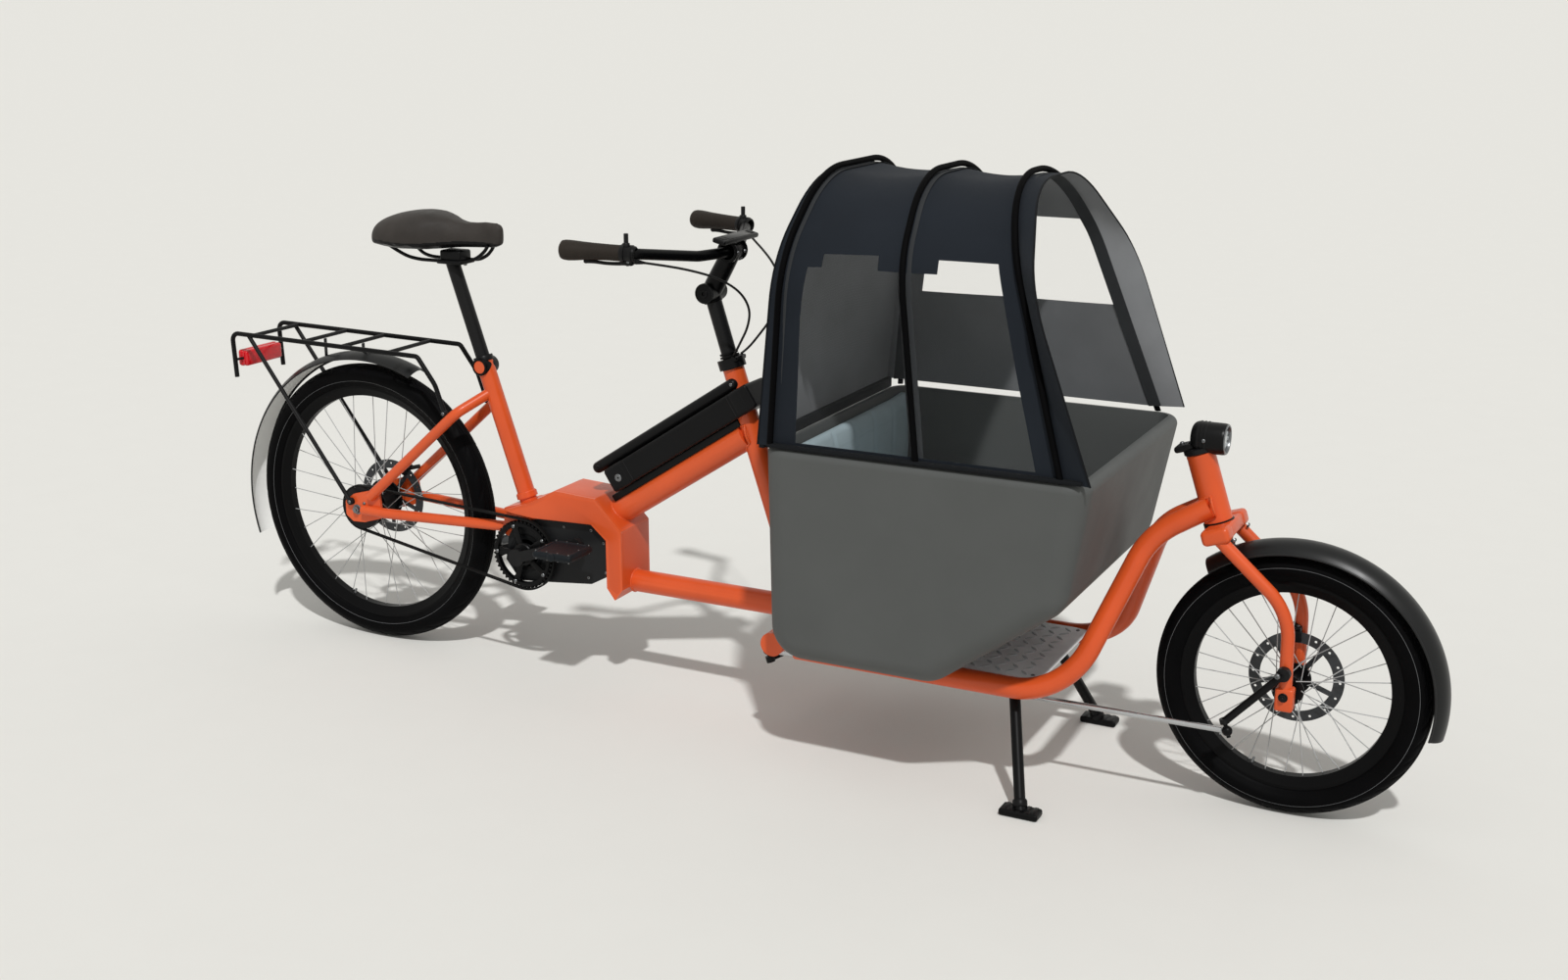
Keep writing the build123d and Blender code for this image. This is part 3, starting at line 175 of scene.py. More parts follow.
def finish_material(
    name,
    color,
    rough=0.5,
    metallic=0.0,
    vary=0.06,
    vary_scale=9.0,
    grain=0.0,
    grain_scale=900.0,
    rough_vary=0.08,
    coat=0.0,
    sheen=0.0,
    specular=0.5,
    edge=0.0,
    alpha=1.0,
):
    """Painted, moulded or metal finish: patchy colour, patchy gloss, fine grain and lighter edges, partly wear and
    partly a painted highlight.
    """
    material, tree, shader = nodes_of(name)
    new = tree.nodes.new
    coords = new("ShaderNodeTexCoord")
    patch = new("ShaderNodeTexNoise")
    patch.inputs["Scale"].default_value = vary_scale
    patch.inputs["Detail"].default_value = 5
    link(tree, coords.outputs["Object"], patch.inputs["Vector"])
    ramp = new("ShaderNodeValToRGB")
    low = [max(0, c * (1 - vary)) for c in color[:3]] + [1]
    high = [min(1, c * (1 + vary)) for c in color[:3]] + [1]
    ramp.color_ramp.elements[0].position = 0.32
    ramp.color_ramp.elements[0].color = low
    ramp.color_ramp.elements[1].position = 0.68
    ramp.color_ramp.elements[1].color = high
    link(tree, patch.outputs["Fac"], ramp.inputs["Fac"])
    out = ramp.outputs["Color"]
    # Convex edges lightened by pointiness: partly wear, partly a painted highlight where edges catch the light.
    if edge > 0:
        geometry = new("ShaderNodeNewGeometry")
        sharp = new("ShaderNodeMapRange")
        sharp.inputs["From Min"].default_value = 0.53
        sharp.inputs["From Max"].default_value = 0.62
        sharp.inputs["To Max"].default_value = edge
        link(tree, geometry.outputs["Pointiness"], sharp.inputs["Value"])
        mix = new("ShaderNodeMix")
        mix.data_type = "RGBA"
        mix.inputs["B"].default_value = [min(1, c * 1.8 + 0.03) for c in color[:3]] + [1]
        link(tree, sharp.outputs["Result"], mix.inputs["Factor"])
        link(tree, out, mix.inputs["A"])
        out = mix.outputs["Result"]
    link(tree, out, shader.inputs["Base Color"])
    gloss = new("ShaderNodeMapRange")
    gloss.inputs["To Min"].default_value = max(0.02, rough - rough_vary)
    gloss.inputs["To Max"].default_value = min(1, rough + rough_vary)
    smear = new("ShaderNodeTexNoise")
    smear.inputs["Scale"].default_value = vary_scale * 3.1
    smear.inputs["Detail"].default_value = 6
    link(tree, coords.outputs["Object"], smear.inputs["Vector"])
    link(tree, smear.outputs["Fac"], gloss.inputs["Value"])
    link(tree, gloss.outputs["Result"], shader.inputs["Roughness"])
    shader.inputs["Metallic"].default_value = metallic
    shader.inputs["Specular IOR Level"].default_value = specular
    shader.inputs["Coat Weight"].default_value = coat
    shader.inputs["Coat Roughness"].default_value = 0.15
    shader.inputs["Sheen Weight"].default_value = sheen
    shader.inputs["Sheen Roughness"].default_value = 0.5
    shader.inputs["Alpha"].default_value = alpha
    if grain > 0:
        fine = new("ShaderNodeTexNoise")
        fine.inputs["Scale"].default_value = grain_scale
        fine.inputs["Detail"].default_value = 3
        link(tree, coords.outputs["Object"], fine.inputs["Vector"])
        bump = new("ShaderNodeBump")
        bump.inputs["Strength"].default_value = grain
        bump.inputs["Distance"].default_value = 0.0006
        link(tree, fine.outputs["Fac"], bump.inputs["Height"])
        link(tree, bump.outputs["Normal"], shader.inputs["Normal"])
    return material


def weave_material(name, color, scale=700.0, strength=0.35, rough=0.8, sheen=0.3, vary=0.10,
        vary_scale=7.0):
    """Woven cloth: crossed thread waves, patchy colour with painted shade in the weave's hollows and painted light on
    its raised threads, and a little sheen.
    """
    material, tree, shader = nodes_of(name)
    new = tree.nodes.new
    coords = new("ShaderNodeTexCoord")
    heights = []
    for axis in ("X", "Z"):
        wave = new("ShaderNodeTexWave")
        wave.bands_direction = axis
        wave.inputs["Scale"].default_value = scale
        wave.inputs["Distortion"].default_value = 0.6
        wave.inputs["Detail Scale"].default_value = 3.0
        link(tree, coords.outputs["Object"], wave.inputs["Vector"])
        heights.append(wave.outputs["Fac"])
    both = new("ShaderNodeMath")
    both.operation = "MULTIPLY"
    link(tree, heights[0], both.inputs[0])
    link(tree, heights[1], both.inputs[1])
    patch = new("ShaderNodeTexNoise")
    patch.inputs["Scale"].default_value = vary_scale
    patch.inputs["Detail"].default_value = 6
    link(tree, coords.outputs["Object"], patch.inputs["Vector"])
    ramp = new("ShaderNodeValToRGB")
    ramp.color_ramp.elements[0].position = 0.3
    ramp.color_ramp.elements[0].color = [c * (1 - vary) for c in color[:3]] + [1]
    ramp.color_ramp.elements[1].position = 0.7
    ramp.color_ramp.elements[1].color = [min(1, c * (1 + vary)) for c in color[:3]] + [1]
    link(tree, patch.outputs["Fac"], ramp.inputs["Fac"])
    # Colour darkened in the low parts of the weave and lightened on the raised threads, following the bump: painted
    # shade and painted highlight.
    thread = new("ShaderNodeMix")
    thread.data_type = "RGBA"
    thread.blend_type = "MULTIPLY"
    thread.inputs["Factor"].default_value = 0.35
    link(tree, ramp.outputs["Color"], thread.inputs["A"])
    shade = new("ShaderNodeMapRange")
    shade.inputs["To Min"].default_value = 0.7
    shade.inputs["To Max"].default_value = 1.15
    link(tree, both.outputs["Value"], shade.inputs["Value"])
    link(tree, shade.outputs["Result"], thread.inputs["B"])
    link(tree, thread.outputs["Result"], shader.inputs["Base Color"])
    shader.inputs["Roughness"].default_value = rough
    shader.inputs["Sheen Weight"].default_value = sheen
    shader.inputs["Sheen Roughness"].default_value = 0.45
    bump = new("ShaderNodeBump")
    bump.inputs["Strength"].default_value = strength
    bump.inputs["Distance"].default_value = 0.0008
    link(tree, both.outputs["Value"], bump.inputs["Height"])
    link(tree, bump.outputs["Normal"], shader.inputs["Normal"])
    shader.inputs["Specular IOR Level"].default_value = 0.14
    return material


def leather_material(name, color, rough=0.48):
    """Grained cover: small cells with sunken creases, and patchy colour."""
    material, tree, shader = nodes_of(name)
    new = tree.nodes.new
    coords = new("ShaderNodeTexCoord")
    cells = new("ShaderNodeTexVoronoi")
    cells.feature = "DISTANCE_TO_EDGE"
    cells.inputs["Scale"].default_value = 420.0
    link(tree, coords.outputs["Object"], cells.inputs["Vector"])
    patch = new("ShaderNodeTexNoise")
    patch.inputs["Scale"].default_value = 14.0
    patch.inputs["Detail"].default_value = 6
    link(tree, coords.outputs["Object"], patch.inputs["Vector"])
    ramp = new("ShaderNodeValToRGB")
    ramp.color_ramp.elements[0].position = 0.3
    ramp.color_ramp.elements[0].color = [c * 0.75 for c in color[:3]] + [1]
    ramp.color_ramp.elements[1].position = 0.75
    ramp.color_ramp.elements[1].color = [c * 1.25 for c in color[:3]] + [1]
    link(tree, patch.outputs["Fac"], ramp.inputs["Fac"])
    link(tree, ramp.outputs["Color"], shader.inputs["Base Color"])
    gloss = new("ShaderNodeMapRange")
    gloss.inputs["To Min"].default_value = rough - 0.1
    gloss.inputs["To Max"].default_value = rough + 0.14
    link(tree, patch.outputs["Fac"], gloss.inputs["Value"])
    link(tree, gloss.outputs["Result"], shader.inputs["Roughness"])
    crease = new("ShaderNodeMapRange")
    crease.inputs["From Max"].default_value = 0.12
    link(tree, cells.outputs["Distance"], crease.inputs["Value"])
    bump = new("ShaderNodeBump")
    bump.inputs["Strength"].default_value = 0.35
    bump.inputs["Distance"].default_value = 0.0008
    link(tree, crease.outputs["Result"], bump.inputs["Height"])
    link(tree, bump.outputs["Normal"], shader.inputs["Normal"])
    shader.inputs["Specular IOR Level"].default_value = 0.16
    return material


def film_material(name, tint, alpha):
    """Clear window film, a little wavy and smeared."""
    material = finish_material(name, tint, rough=0.14, vary=0.03, rough_vary=0.04, grain=0.0,
        specular=0.1, alpha=alpha)
    tree = material.node_tree
    shader = tree.nodes["Principled BSDF"]
    coords = tree.nodes.new("ShaderNodeTexCoord")
    ripple = tree.nodes.new("ShaderNodeTexNoise")
    ripple.inputs["Scale"].default_value = 6.0
    link(tree, coords.outputs["Object"], ripple.inputs["Vector"])
    bump = tree.nodes.new("ShaderNodeBump")
    bump.inputs["Strength"].default_value = 0.02
    bump.inputs["Distance"].default_value = 0.004
    link(tree, ripple.outputs["Fac"], bump.inputs["Height"])
    link(tree, bump.outputs["Normal"], shader.inputs["Normal"])
    return material


ORANGE = finish_material("paint_orange", srgb(213, 83, 34), 0.36, vary=0.05, grain=0.05,
    grain_scale=600, coat=0.12, edge=0.15, specular=0.35)
BLACK = finish_material("black_coat", srgb(9, 9, 10), 0.42, vary=0.15, grain=0.08,
    grain_scale=1500, edge=0.3, specular=0.12)
HOOP = finish_material("hoop_black", srgb(5, 5, 6), 0.7, vary=0.1, grain=0.1, grain_scale=900,
    specular=0.04)
ANODISED = finish_material("black_anodised", srgb(7, 7, 8), 0.34, vary=0.15, grain=0.03,
    grain_scale=2500, edge=0.35, specular=0.12)
PLASTIC = finish_material("black_plastic", srgb(11, 11, 12), 0.36, vary=0.12, grain=0.10,
    grain_scale=1700, edge=0.25, specular=0.16)
MOTOR = finish_material("motor_cover", srgb(14, 15, 17), 0.40, vary=0.12, grain=0.12,
    grain_scale=1400, edge=0.3, specular=0.12)
BATTERY = finish_material("battery_case", srgb(14, 14, 15), 0.40, vary=0.10, grain=0.10,
    grain_scale=1800, edge=0.35, specular=0.12)
# The box foam's lighter edges are partly wear and partly a painted highlight on the rim.
BOX = finish_material("box_foam", srgb(80, 82, 81), 0.62, vary=0.05, vary_scale=5, grain=0.30,
    grain_scale=420, edge=0.35, specular=0.35)
BENCH = finish_material("bench_board", srgb(122, 130, 136), 0.6, vary=0.05, grain=0.12)
TYRE = finish_material("tyre_rubber", srgb(4, 4, 5), 0.55, vary=0.25, vary_scale=22, grain=0.25,
    grain_scale=700, specular=0.05)
RIM = finish_material("rim_black", srgb(5, 5, 6), 0.34, vary=0.12, grain=0.03, specular=0.09)
SPOKE = finish_material("spoke_steel", srgb(172, 173, 173), 0.45, metallic=0.2, vary=0.08,
    specular=0.2)
HUB = finish_material("hub_black", srgb(9, 9, 10), 0.36, vary=0.15, edge=0.3, specular=0.12)
ROTOR = finish_material("rotor_steel", srgb(62, 64, 66), 0.40, metallic=0.35, vary=0.15,
    vary_scale=40, grain=0.08, grain_scale=900, specular=0.3)
STEEL = finish_material("bright_steel", srgb(186, 188, 190), 0.25, metallic=0.95, vary=0.06,
    vary_scale=30, grain=0.04)
BOLT = finish_material("bolt_steel", srgb(120, 122, 124), 0.3, metallic=0.9, vary=0.1)
# Tread plate and its ribs are painted much lighter than their own grey to cancel the shadow the box casts on them:
# painted light.
PLATE = finish_material("tread_plate", srgb(238, 241, 243), 0.5, metallic=0.0, vary=0.08,
    vary_scale=20, grain=0.12, edge=0.2, specular=0.3)
PLATE_RIB = finish_material("tread_rib", srgb(196, 200, 203), 0.45, metallic=0.0, vary=0.10,
    vary_scale=30, grain=0.10, specular=0.3)
BELT = finish_material("drive_belt", srgb(13, 13, 13), 0.7, vary=0.15, grain=0.25,
    grain_scale=1200, specular=0.15)
FENDER = finish_material("fender_charcoal", srgb(15, 16, 17), 0.34, vary=0.08, grain=0.05,
    grain_scale=900, edge=0.3, specular=0.3)
SADDLE = leather_material("saddle_cover", srgb(56, 52, 49))
GRIP = leather_material("grip_cover", srgb(42, 36, 31), 0.58)
CUSHION = weave_material("cushion_cloth", srgb(168, 186, 192), scale=520, strength=0.4, sheen=0.1)
CLOTH = weave_material("tent_cloth", srgb(29, 34, 41), scale=620, strength=0.35, rough=0.8,
    sheen=0.04)
LINING = weave_material("tent_lining", srgb(122, 124, 126), scale=620, strength=0.08, rough=0.85,
    sheen=0.06)
TAPE = weave_material("black_tape", srgb(18, 20, 23), scale=900, strength=0.3, rough=0.8,
    sheen=0.02)
SLEEVE = weave_material("hoop_sleeve", srgb(56, 58, 60), scale=700, strength=0.1, rough=0.85,
    sheen=0.03)
FILM = film_material("window_film", srgb(160, 163, 164), 0.012)
RED = finish_material("lamp_red", srgb(206, 18, 30), 0.22, vary=0.12, vary_scale=60, grain=0.05,
    grain_scale=260, coat=0.3, specular=0.3)
RED_DEEP = finish_material("lamp_red_deep", srgb(140, 8, 16), 0.25, vary=0.15, vary_scale=60,
    coat=0.3, specular=0.3)
LENS = finish_material("lamp_lens", srgb(150, 156, 160), 0.10, vary=0.3, vary_scale=90, coat=1.0)
SCREEN = finish_material("screen_glass", srgb(20, 20, 21), 0.32, vary=0.2, coat=0.1, specular=0.2)
BUTTON = finish_material("button_rubber", srgb(40, 40, 40), 0.6, vary=0.1, grain=0.1, specular=0.2)
# Pedal base is tinted blue-grey to cancel the orange light that the frame bounces onto it. This is a painted
# correction for reflected light and not the pedal's own colour.
PEDAL = finish_material("pedal_body", srgb(20, 25, 29), 0.5, vary=0.12, grain=0.12,
    grain_scale=1300, edge=0.3, specular=0.14)
JACKET = finish_material("cable_jacket", srgb(17, 17, 17), 0.5, vary=0.15, grain=0.15,
    grain_scale=2500, specular=0.2)
# Inside of the fenders is painted near white so that, lying in shade, it still reads as pale as the backdrop. This is
# painted light and not the fender's own colour.
FENDER_IN = finish_material("fender_inner", srgb(252, 252, 249), 0.6, vary=0.01, grain=0.02,
    specular=0.1)
# Thin pale grey line round both sidewalls of the tyres, near the bead.
PALE_LINE = finish_material("pale_tyre_line", srgb(96, 98, 100), 0.45, vary=0.08, vary_scale=80)

for piece in cables:
    piece.data.materials.append(JACKET)

FINISH = {
    "rear_frame": ORANGE, "middle_frame": ORANGE, "front_frame": ORANGE, "fork": ORANGE,
    "step_plate": PLATE, "motor": MOTOR, "battery": BATTERY, "battery_mount": PLASTIC,
    "top_bar": BATTERY, "seat_post": ANODISED, "saddle": SADDLE, "rack": BLACK, "tail_light": RED,
    "rear_fender": FENDER, "front_fender": FENDER, "belt": BELT, "headset_cups": ANODISED,
    "headlight": PLASTIC, "box_shell": BOX, "bench": BENCH, "seat_cushion": CUSHION,
    "back_cushion": CUSHION, "tent_hoops": HOOP, "tent_cover": CLOTH, "tent_windows": FILM,
    "steering_column": ANODISED, "handlebar": ANODISED, "grips": GRIP, "bar_controls": PLASTIC,
    "display": SCREEN, "brake_cables": JACKET, "tie_rod": STEEL, "rod_ends": HUB, "fork_arm": BLACK,
    "front_tyre": TYRE, "rear_tyre": TYRE, "front_rim": RIM, "rear_rim": RIM,
    "front_spokes": SPOKE, "rear_spokes": SPOKE, "front_hub": HUB, "rear_hub": HUB,
    "front_rotor": ROTOR, "rear_rotor": ROTOR, "sprocket": HUB, "chainring": ANODISED,
    "crank_arms": ANODISED, "pedal_right": PLASTIC, "pedal_left": PLASTIC, "kickstand": BLACK,
}
for name, node in NODES.items():
    node.data.materials.clear()
    node.data.materials.append(FINISH[name])
    for polygon in node.data.polygons:
        polygon.material_index = 0

# ------------------------------------------------------------ mesh helpers
def mesh_piece(name, verts, faces, materials, body, index=None, angle=35, replaces=()):
    """A closed mesh from points in bike millimetres, riding on a body."""
    mesh = bpy.data.meshes.new(name)
    mesh.from_pydata([at(*v) for v in verts], [], faces)
    for material in materials:
        mesh.materials.append(material)
    if index is not None:
        mesh.polygons.foreach_set("material_index", index)
    mesh.update()
    mesh.shade_smooth()
    mesh.set_sharp_from_angle(angle=math.radians(angle))
    obj = bpy.data.objects.new(name, mesh)
    bpy.context.scene.collection.objects.link(obj)
    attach(obj, body)
    if replaces:
        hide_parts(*replaces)
    return obj


class Parts:
    """Many small closed shapes gathered into one mesh."""

    def __init__(self):
        self.verts = []
        self.faces = []
        self.index = []

    def add(self, verts, faces, material=0):
        base = len(self.verts)
        self.verts += [tuple(v) for v in verts]
        self.faces += [tuple(i + base for i in f) for f in faces]
        self.index += [material] * len(faces)

    def piece(self, name, materials, body, angle=35, replaces=()):
        return mesh_piece(name, self.verts, self.faces, materials, body, self.index, angle,
            replaces)


def axes_for(direction):
    """Two unit vectors square to a direction."""
    w = Vector(direction).normalized()
    helper = Vector((0, 0, 1)) if abs(w.z) < 0.9 else Vector((1, 0, 0))
    u = w.cross(helper).normalized()
    return u, w.cross(u).normalized(), w


def turned(profile, origin, direction, n=24):
    """Solid of revolution: profile of (radius, height) along a direction, closed on the axis at both ends."""
    u, v, w = axes_for(direction)
    origin = Vector(origin)
    verts, faces, rings = [], [], []
    for r, h in profile:
        if r <= 1e-6:
            rings.append([len(verts)])
            verts.append(origin + w * h)
            continue
        ring = []
        for k in range(n):
            a = 2 * math.pi * k / n
            ring.append(len(verts))
            verts.append(origin + w * h + (u * math.cos(a) + v * math.sin(a)) * r)
        rings.append(ring)
    for a, b in zip(rings, rings[1:]):
        for k in range(n):
            m = (k + 1) % n
            if len(a) == 1:
                faces.append((a[0], b[m], b[k]))
            elif len(b) == 1:
                faces.append((a[k], a[m], b[0]))
            else:
                faces.append((a[k], a[m], b[m], b[k]))
    return verts, faces


def ring_turned(profile, origin, direction, n=48):
    """Ring of revolution from a closed profile of (radius, height)."""
    u, v, w = axes_for(direction)
    origin = Vector(origin)
    verts, faces = [], []
    m = len(profile)
    for k in range(n):
        a = 2 * math.pi * k / n
        way = u * math.cos(a) + v * math.sin(a)
        verts += [origin + w * h + way * r for r, h in profile]
    for k in range(n):
        for j in range(m):
            a, b = k * m + j, k * m + (j + 1) % m
            c, d = ((k + 1) % n) * m + (j + 1) % m, ((k + 1) % n) * m + j
            faces.append((a, d, c, b))
    return verts, faces


def screw(parts, origin, direction, r=4.0, h=3.0, material=0, n=14):
    """Button-head screw with a recessed socket."""
    profile = [(0, -1.0), (r, -1.0), (r, h * 0.35), (r * 0.86, h * 0.75), (r * 0.55, h),
        (r * 0.45, h)]
    profile += [(r * 0.42, h * 0.35), (0, h * 0.3)]
    parts.add(*turned(profile, origin, direction, n), material)


def nut(parts, origin, direction, r=8.0, h=6.0, material=0):
    """Hexagon nut with a chamfered top and a stub of thread."""
    parts.add(*turned([(0, -0.5), (r, -0.5), (r, h * 0.85), (r * 0.86, h), (0, h)], origin,
        direction, 6), material)
    parts.add(*turned([(0, h - 0.5), (r * 0.5, h - 0.5), (r * 0.5, h + 2.2), (r * 0.36, h + 3),
        (0, h + 3)],
                      origin, direction, 12), material)


def tube_mesh(points, radius, n=12, closed=False):
    """Tube along points with rounded turns given by the points themselves."""
    points = [Vector(p) for p in points]
    verts, faces = [], []
    count = len(points)
    last_u = None
    for i, p in enumerate(points):
        before = points[i - 1] if i or closed else points[0]
        after = points[(i + 1) % count] if i < count - 1 or closed else points[-1]
        way = (after - before).normalized()
        if last_u is None:
            last_u = axes_for(way)[0]
        u = (last_u - way * last_u.dot(way)).normalized()
        last_u = u
        v = way.cross(u)
        r = radius[i] if isinstance(radius, (list, tuple)) else radius
        for k in range(n):
            a = 2 * math.pi * k / n
            verts.append(p + (u * math.cos(a) + v * math.sin(a)) * r)
    runs = count if closed else count - 1
    for i in range(runs):
        j = (i + 1) % count
        for k in range(n):
            m = (k + 1) % n
            faces.append((i * n + k, i * n + m, j * n + m, j * n + k))
    if not closed:
        faces.append(tuple(range(n - 1, -1, -1)))
        faces.append(tuple((count - 1) * n + k for k in range(n)))
    return verts, faces


def smooth_path(points, steps=8):
    """Catmull-Rom points through a route."""
    pts = [Vector(p) for p in points]
    ends = [pts[0] * 2 - pts[1]] + pts + [pts[-1] * 2 - pts[-2]]
    out = []
    for a, b, c, d in zip(ends, ends[1:], ends[2:], ends[3:]):
        for k in range(steps):
            t = k / steps
            out.append(0.5 * ((2 * b) + (c - a) * t + (2 * a - 5 * b + 4 * c - d) * t * t
                              + (3 * b - a - 3 * c + d) * t ** 3))
    out.append(pts[-1])
    return out


def block(parts, centre, size, frame_axes=None, bevel=2.0, material=0, steps=3):
    """Box with rounded edges."""
    cx = Vector(centre)
    ux, uy, uz = frame_axes or (Vector((1, 0, 0)), Vector((0, 1, 0)), Vector((0, 0, 1)))
    bm = bmesh.new()
    bmesh.ops.create_cube(bm, size=1.0)
    for vert in bm.verts:
        vert.co = Vector((vert.co.x * size[0], vert.co.y * size[1], vert.co.z * size[2]))
    if bevel > 0:
        bmesh.ops.bevel(bm, geom=bm.edges[:], offset=bevel, segments=steps, profile=0.5,
            affect="EDGES")
    bm.verts.index_update()
    verts = [cx + ux * v.co.x + uy * v.co.y + uz * v.co.z for v in bm.verts]
    faces = [tuple(v.index for v in f.verts) for f in bm.faces]
    bm.free()
    parts.add(verts, faces, material)


def baked(obj):
    """Apply an object's modifiers to its mesh."""
    bpy.context.view_layer.update()
    graph = bpy.context.evaluated_depsgraph_get()
    mesh = bpy.data.meshes.new_from_object(obj.evaluated_get(graph))
    old = obj.data
    obj.modifiers.clear()
    obj.data = mesh
    bpy.data.meshes.remove(old)
    return obj


def inflate(obj, voxel, cap, pressure=4.0, frames=20):
    """Padded form: remesh, swell as pressurised cloth with capped movement, then subdivide once."""
    remesh = obj.modifiers.new("voxels", "REMESH")
    remesh.mode = "VOXEL"
    remesh.voxel_size = voxel / 1000
    baked(obj)
    start = np.empty(len(obj.data.vertices) * 3)
    obj.data.vertices.foreach_get("co", start)
    cloth = obj.modifiers.new("swell", "CLOTH")
    settings = cloth.settings
    settings.quality = 5
    settings.mass = 0.2
    settings.tension_stiffness = 18
    settings.compression_stiffness = 18
    settings.bending_stiffness = 2.5
    settings.use_pressure = True
    settings.uniform_pressure_force = pressure
    settings.effector_weights.gravity = 0.0
    cloth.collision_settings.use_collision = False
    cloth.point_cache.frame_start = 1
    cloth.point_cache.frame_end = frames
    scene = bpy.context.scene
    for number in range(1, frames + 1):
        scene.frame_set(number)
    baked(obj)
    moved = np.empty(len(obj.data.vertices) * 3)
    obj.data.vertices.foreach_get("co", moved)
    step = (moved - start).reshape(-1, 3)
    size = np.linalg.norm(step, axis=1, keepdims=True)
    step *= np.minimum(1, (cap / 1000) / np.maximum(size, 1e-9))
    obj.data.vertices.foreach_set("co", (start.reshape(-1, 3) + step).ravel())
    scene.frame_set(1)
    soft = obj.modifiers.new("smooth", "SMOOTH")
    soft.factor = 0.5
    soft.iterations = 4
    sub = obj.modifiers.new("fine", "SUBSURF")
    sub.levels = sub.render_levels = 1
    baked(obj)
    obj.data.shade_smooth()
    return obj


def new_object(name, verts, faces):
    """Object with a mesh from points in bike millimetres."""
    mesh = bpy.data.meshes.new(name)
    mesh.from_pydata([at(*v) for v in verts], [], faces)
    mesh.update()
    obj = bpy.data.objects.new(name, mesh)
    bpy.context.scene.collection.objects.link(obj)
    return obj


# ------------------------------------------------------------ tyres
BEAD_LIP = ((22.4, 46.2), (20.0, 50.0), (18.4, 51.0), (18.3, 47.7), (16.6, 45.5))


def tyre(name, body, x, z, radius, line_angle, replaced):
    """Slick road tyre with three tread grooves, shoulder sipes and a thin pale line round each side."""
    n = 360
    outer = [-122 + 244 * k / 56 for k in range(57)]
    marks = [side * line_angle + off for side in (-1, 1) for off in (-0.75, 0.75)]
    outer = sorted([a for a in outer if min(abs(a - m) for m in marks) > 1.0] + marks)
    verts, faces, index = [], [], []
    inner = list(reversed(outer))
    m = len(outer) + len(inner) + 2 * len(BEAD_LIP)
    for i in range(n):
        t = 2 * math.pi * i / n
        c, s = math.cos(t), math.sin(t)
        for a in outer:
            f = math.radians(a)
            cut = 0.0
            if 7 < abs(a) < 11.5 or 24 < abs(a) < 28:
                cut = 1.3
            if 33 < abs(a) < 58 and (i + int(abs(a) / 6)) % 9 < 2:
                cut = 1.1
            y = (30 - cut) * math.sin(f)
            r = radius - 27 + (27 - cut) * math.cos(f)
            verts.append((x + r * c, y, z + r * s))
        for y, drop in BEAD_LIP:
            verts.append((x + (radius - drop) * c, y, z + (radius - drop) * s))
        for a in inner:
            f = math.radians(a)
            r = radius - 27 + 23 * math.cos(f)
            verts.append((x + r * c, 26 * math.sin(f), z + r * s))
        for y, drop in reversed(BEAD_LIP):
            verts.append((x + (radius - drop) * c, -y, z + (radius - drop) * s))
    for i in range(n):
        j = (i + 1) % n
        for k in range(m):
            q = (k + 1) % m
            faces.append((i * m + k, i * m + q, j * m + q, j * m + k))
            mark = 0
            if k < len(outer) - 1 and abs(abs((outer[k] + outer[k + 1]) / 2) - line_angle) < 0.1:
                mark = 1
            index.append(mark)
    return mesh_piece(name, verts, faces, [TYRE, PALE_LINE], body, index, 28, [replaced])


tyre("front_tyre_tread", "front_wheel", WHEELBASE, FRONT_R, 258, 80, "front_tyre")
tyre("rear_tyre_tread", "rear_wheel", 0, 335, 335, 112, "rear_tyre")


# ------------------------------------------------------------ fenders
def fender(name, body, x, z, radius, width, sag, start, end, replaced, post):
    """Arched fender with rolled edges, with its mounts; the inside is painted near white so that it looks pale though
    it lies in shade (painted light).
    """
    half = width / 2
    cols = 20
    rise = (half * half + sag * sag) / (2 * sag)
    rows = int((end - start) / 2)
    verts, faces, index = [], [], []
    outer = []
    for k in range(cols + 1):
        y = -half + width * k / cols
        drop = rise - math.sqrt(rise * rise - y * y)
        outer.append((y, radius - drop))
    profile = list(outer)
    profile += [(half + 0.9, radius - sag - 1.2), (half + 0.4, radius - sag - 2.6),
        (half - 1.0, radius - sag - 3.0)]
    profile += [(y * 0.965, r - 2.4) for y, r in reversed(outer)]
    profile += [(-half + 1.0, radius - sag - 3.0), (-half - 0.4, radius - sag - 2.6),
        (-half - 0.9, radius - sag - 1.2)]
    m = len(profile)
    for i in range(rows + 1):
        t = math.radians(start + (end - start) * i / rows)
        for y, r in profile:
            verts.append((x + r * math.cos(t), y, z + r * math.sin(t)))
    for i in range(rows):
        for k in range(m):
            q = (k + 1) % m
            faces.append((i * m + k, i * m + q, (i + 1) * m + q, (i + 1) * m + k))
            # Inner faces take the near-white inside finish: painted light.
            index.append(1 if cols + 4 < k < 2 * cols + 2 else 0)
    faces.append(tuple(range(m - 1, -1, -1)))
    faces.append(tuple(rows * m + k for k in range(m)))
    index += [0, 0]
    parts = Parts()
    parts.verts, parts.faces, parts.index = verts, faces, index
    for side in (-1, 1):
        bead = []
        for i in range(rows + 1):
            t = math.radians(start + (end - start) * i / rows)
            r = radius - sag - 1.6
            bead.append(Vector((x + r * math.cos(t), side * (half + 0.2), z + r * math.sin(t))))
        parts.add(*tube_mesh(bead, 2.0, 10), 0)
    post(parts)
    return parts.piece(name, [FENDER, FENDER_IN], body, 40, [replaced])


def rear_posts(parts):
    for px in (-128, -15):
        foot = 323 + math.sqrt(377 ** 2 - (px + 3) ** 2) - 2
        top = 721 + 7 * (204 - px) / 546 - 5.4
        block(parts, (px, 0, (foot + top) / 2), (3, 9, top - foot), bevel=1)


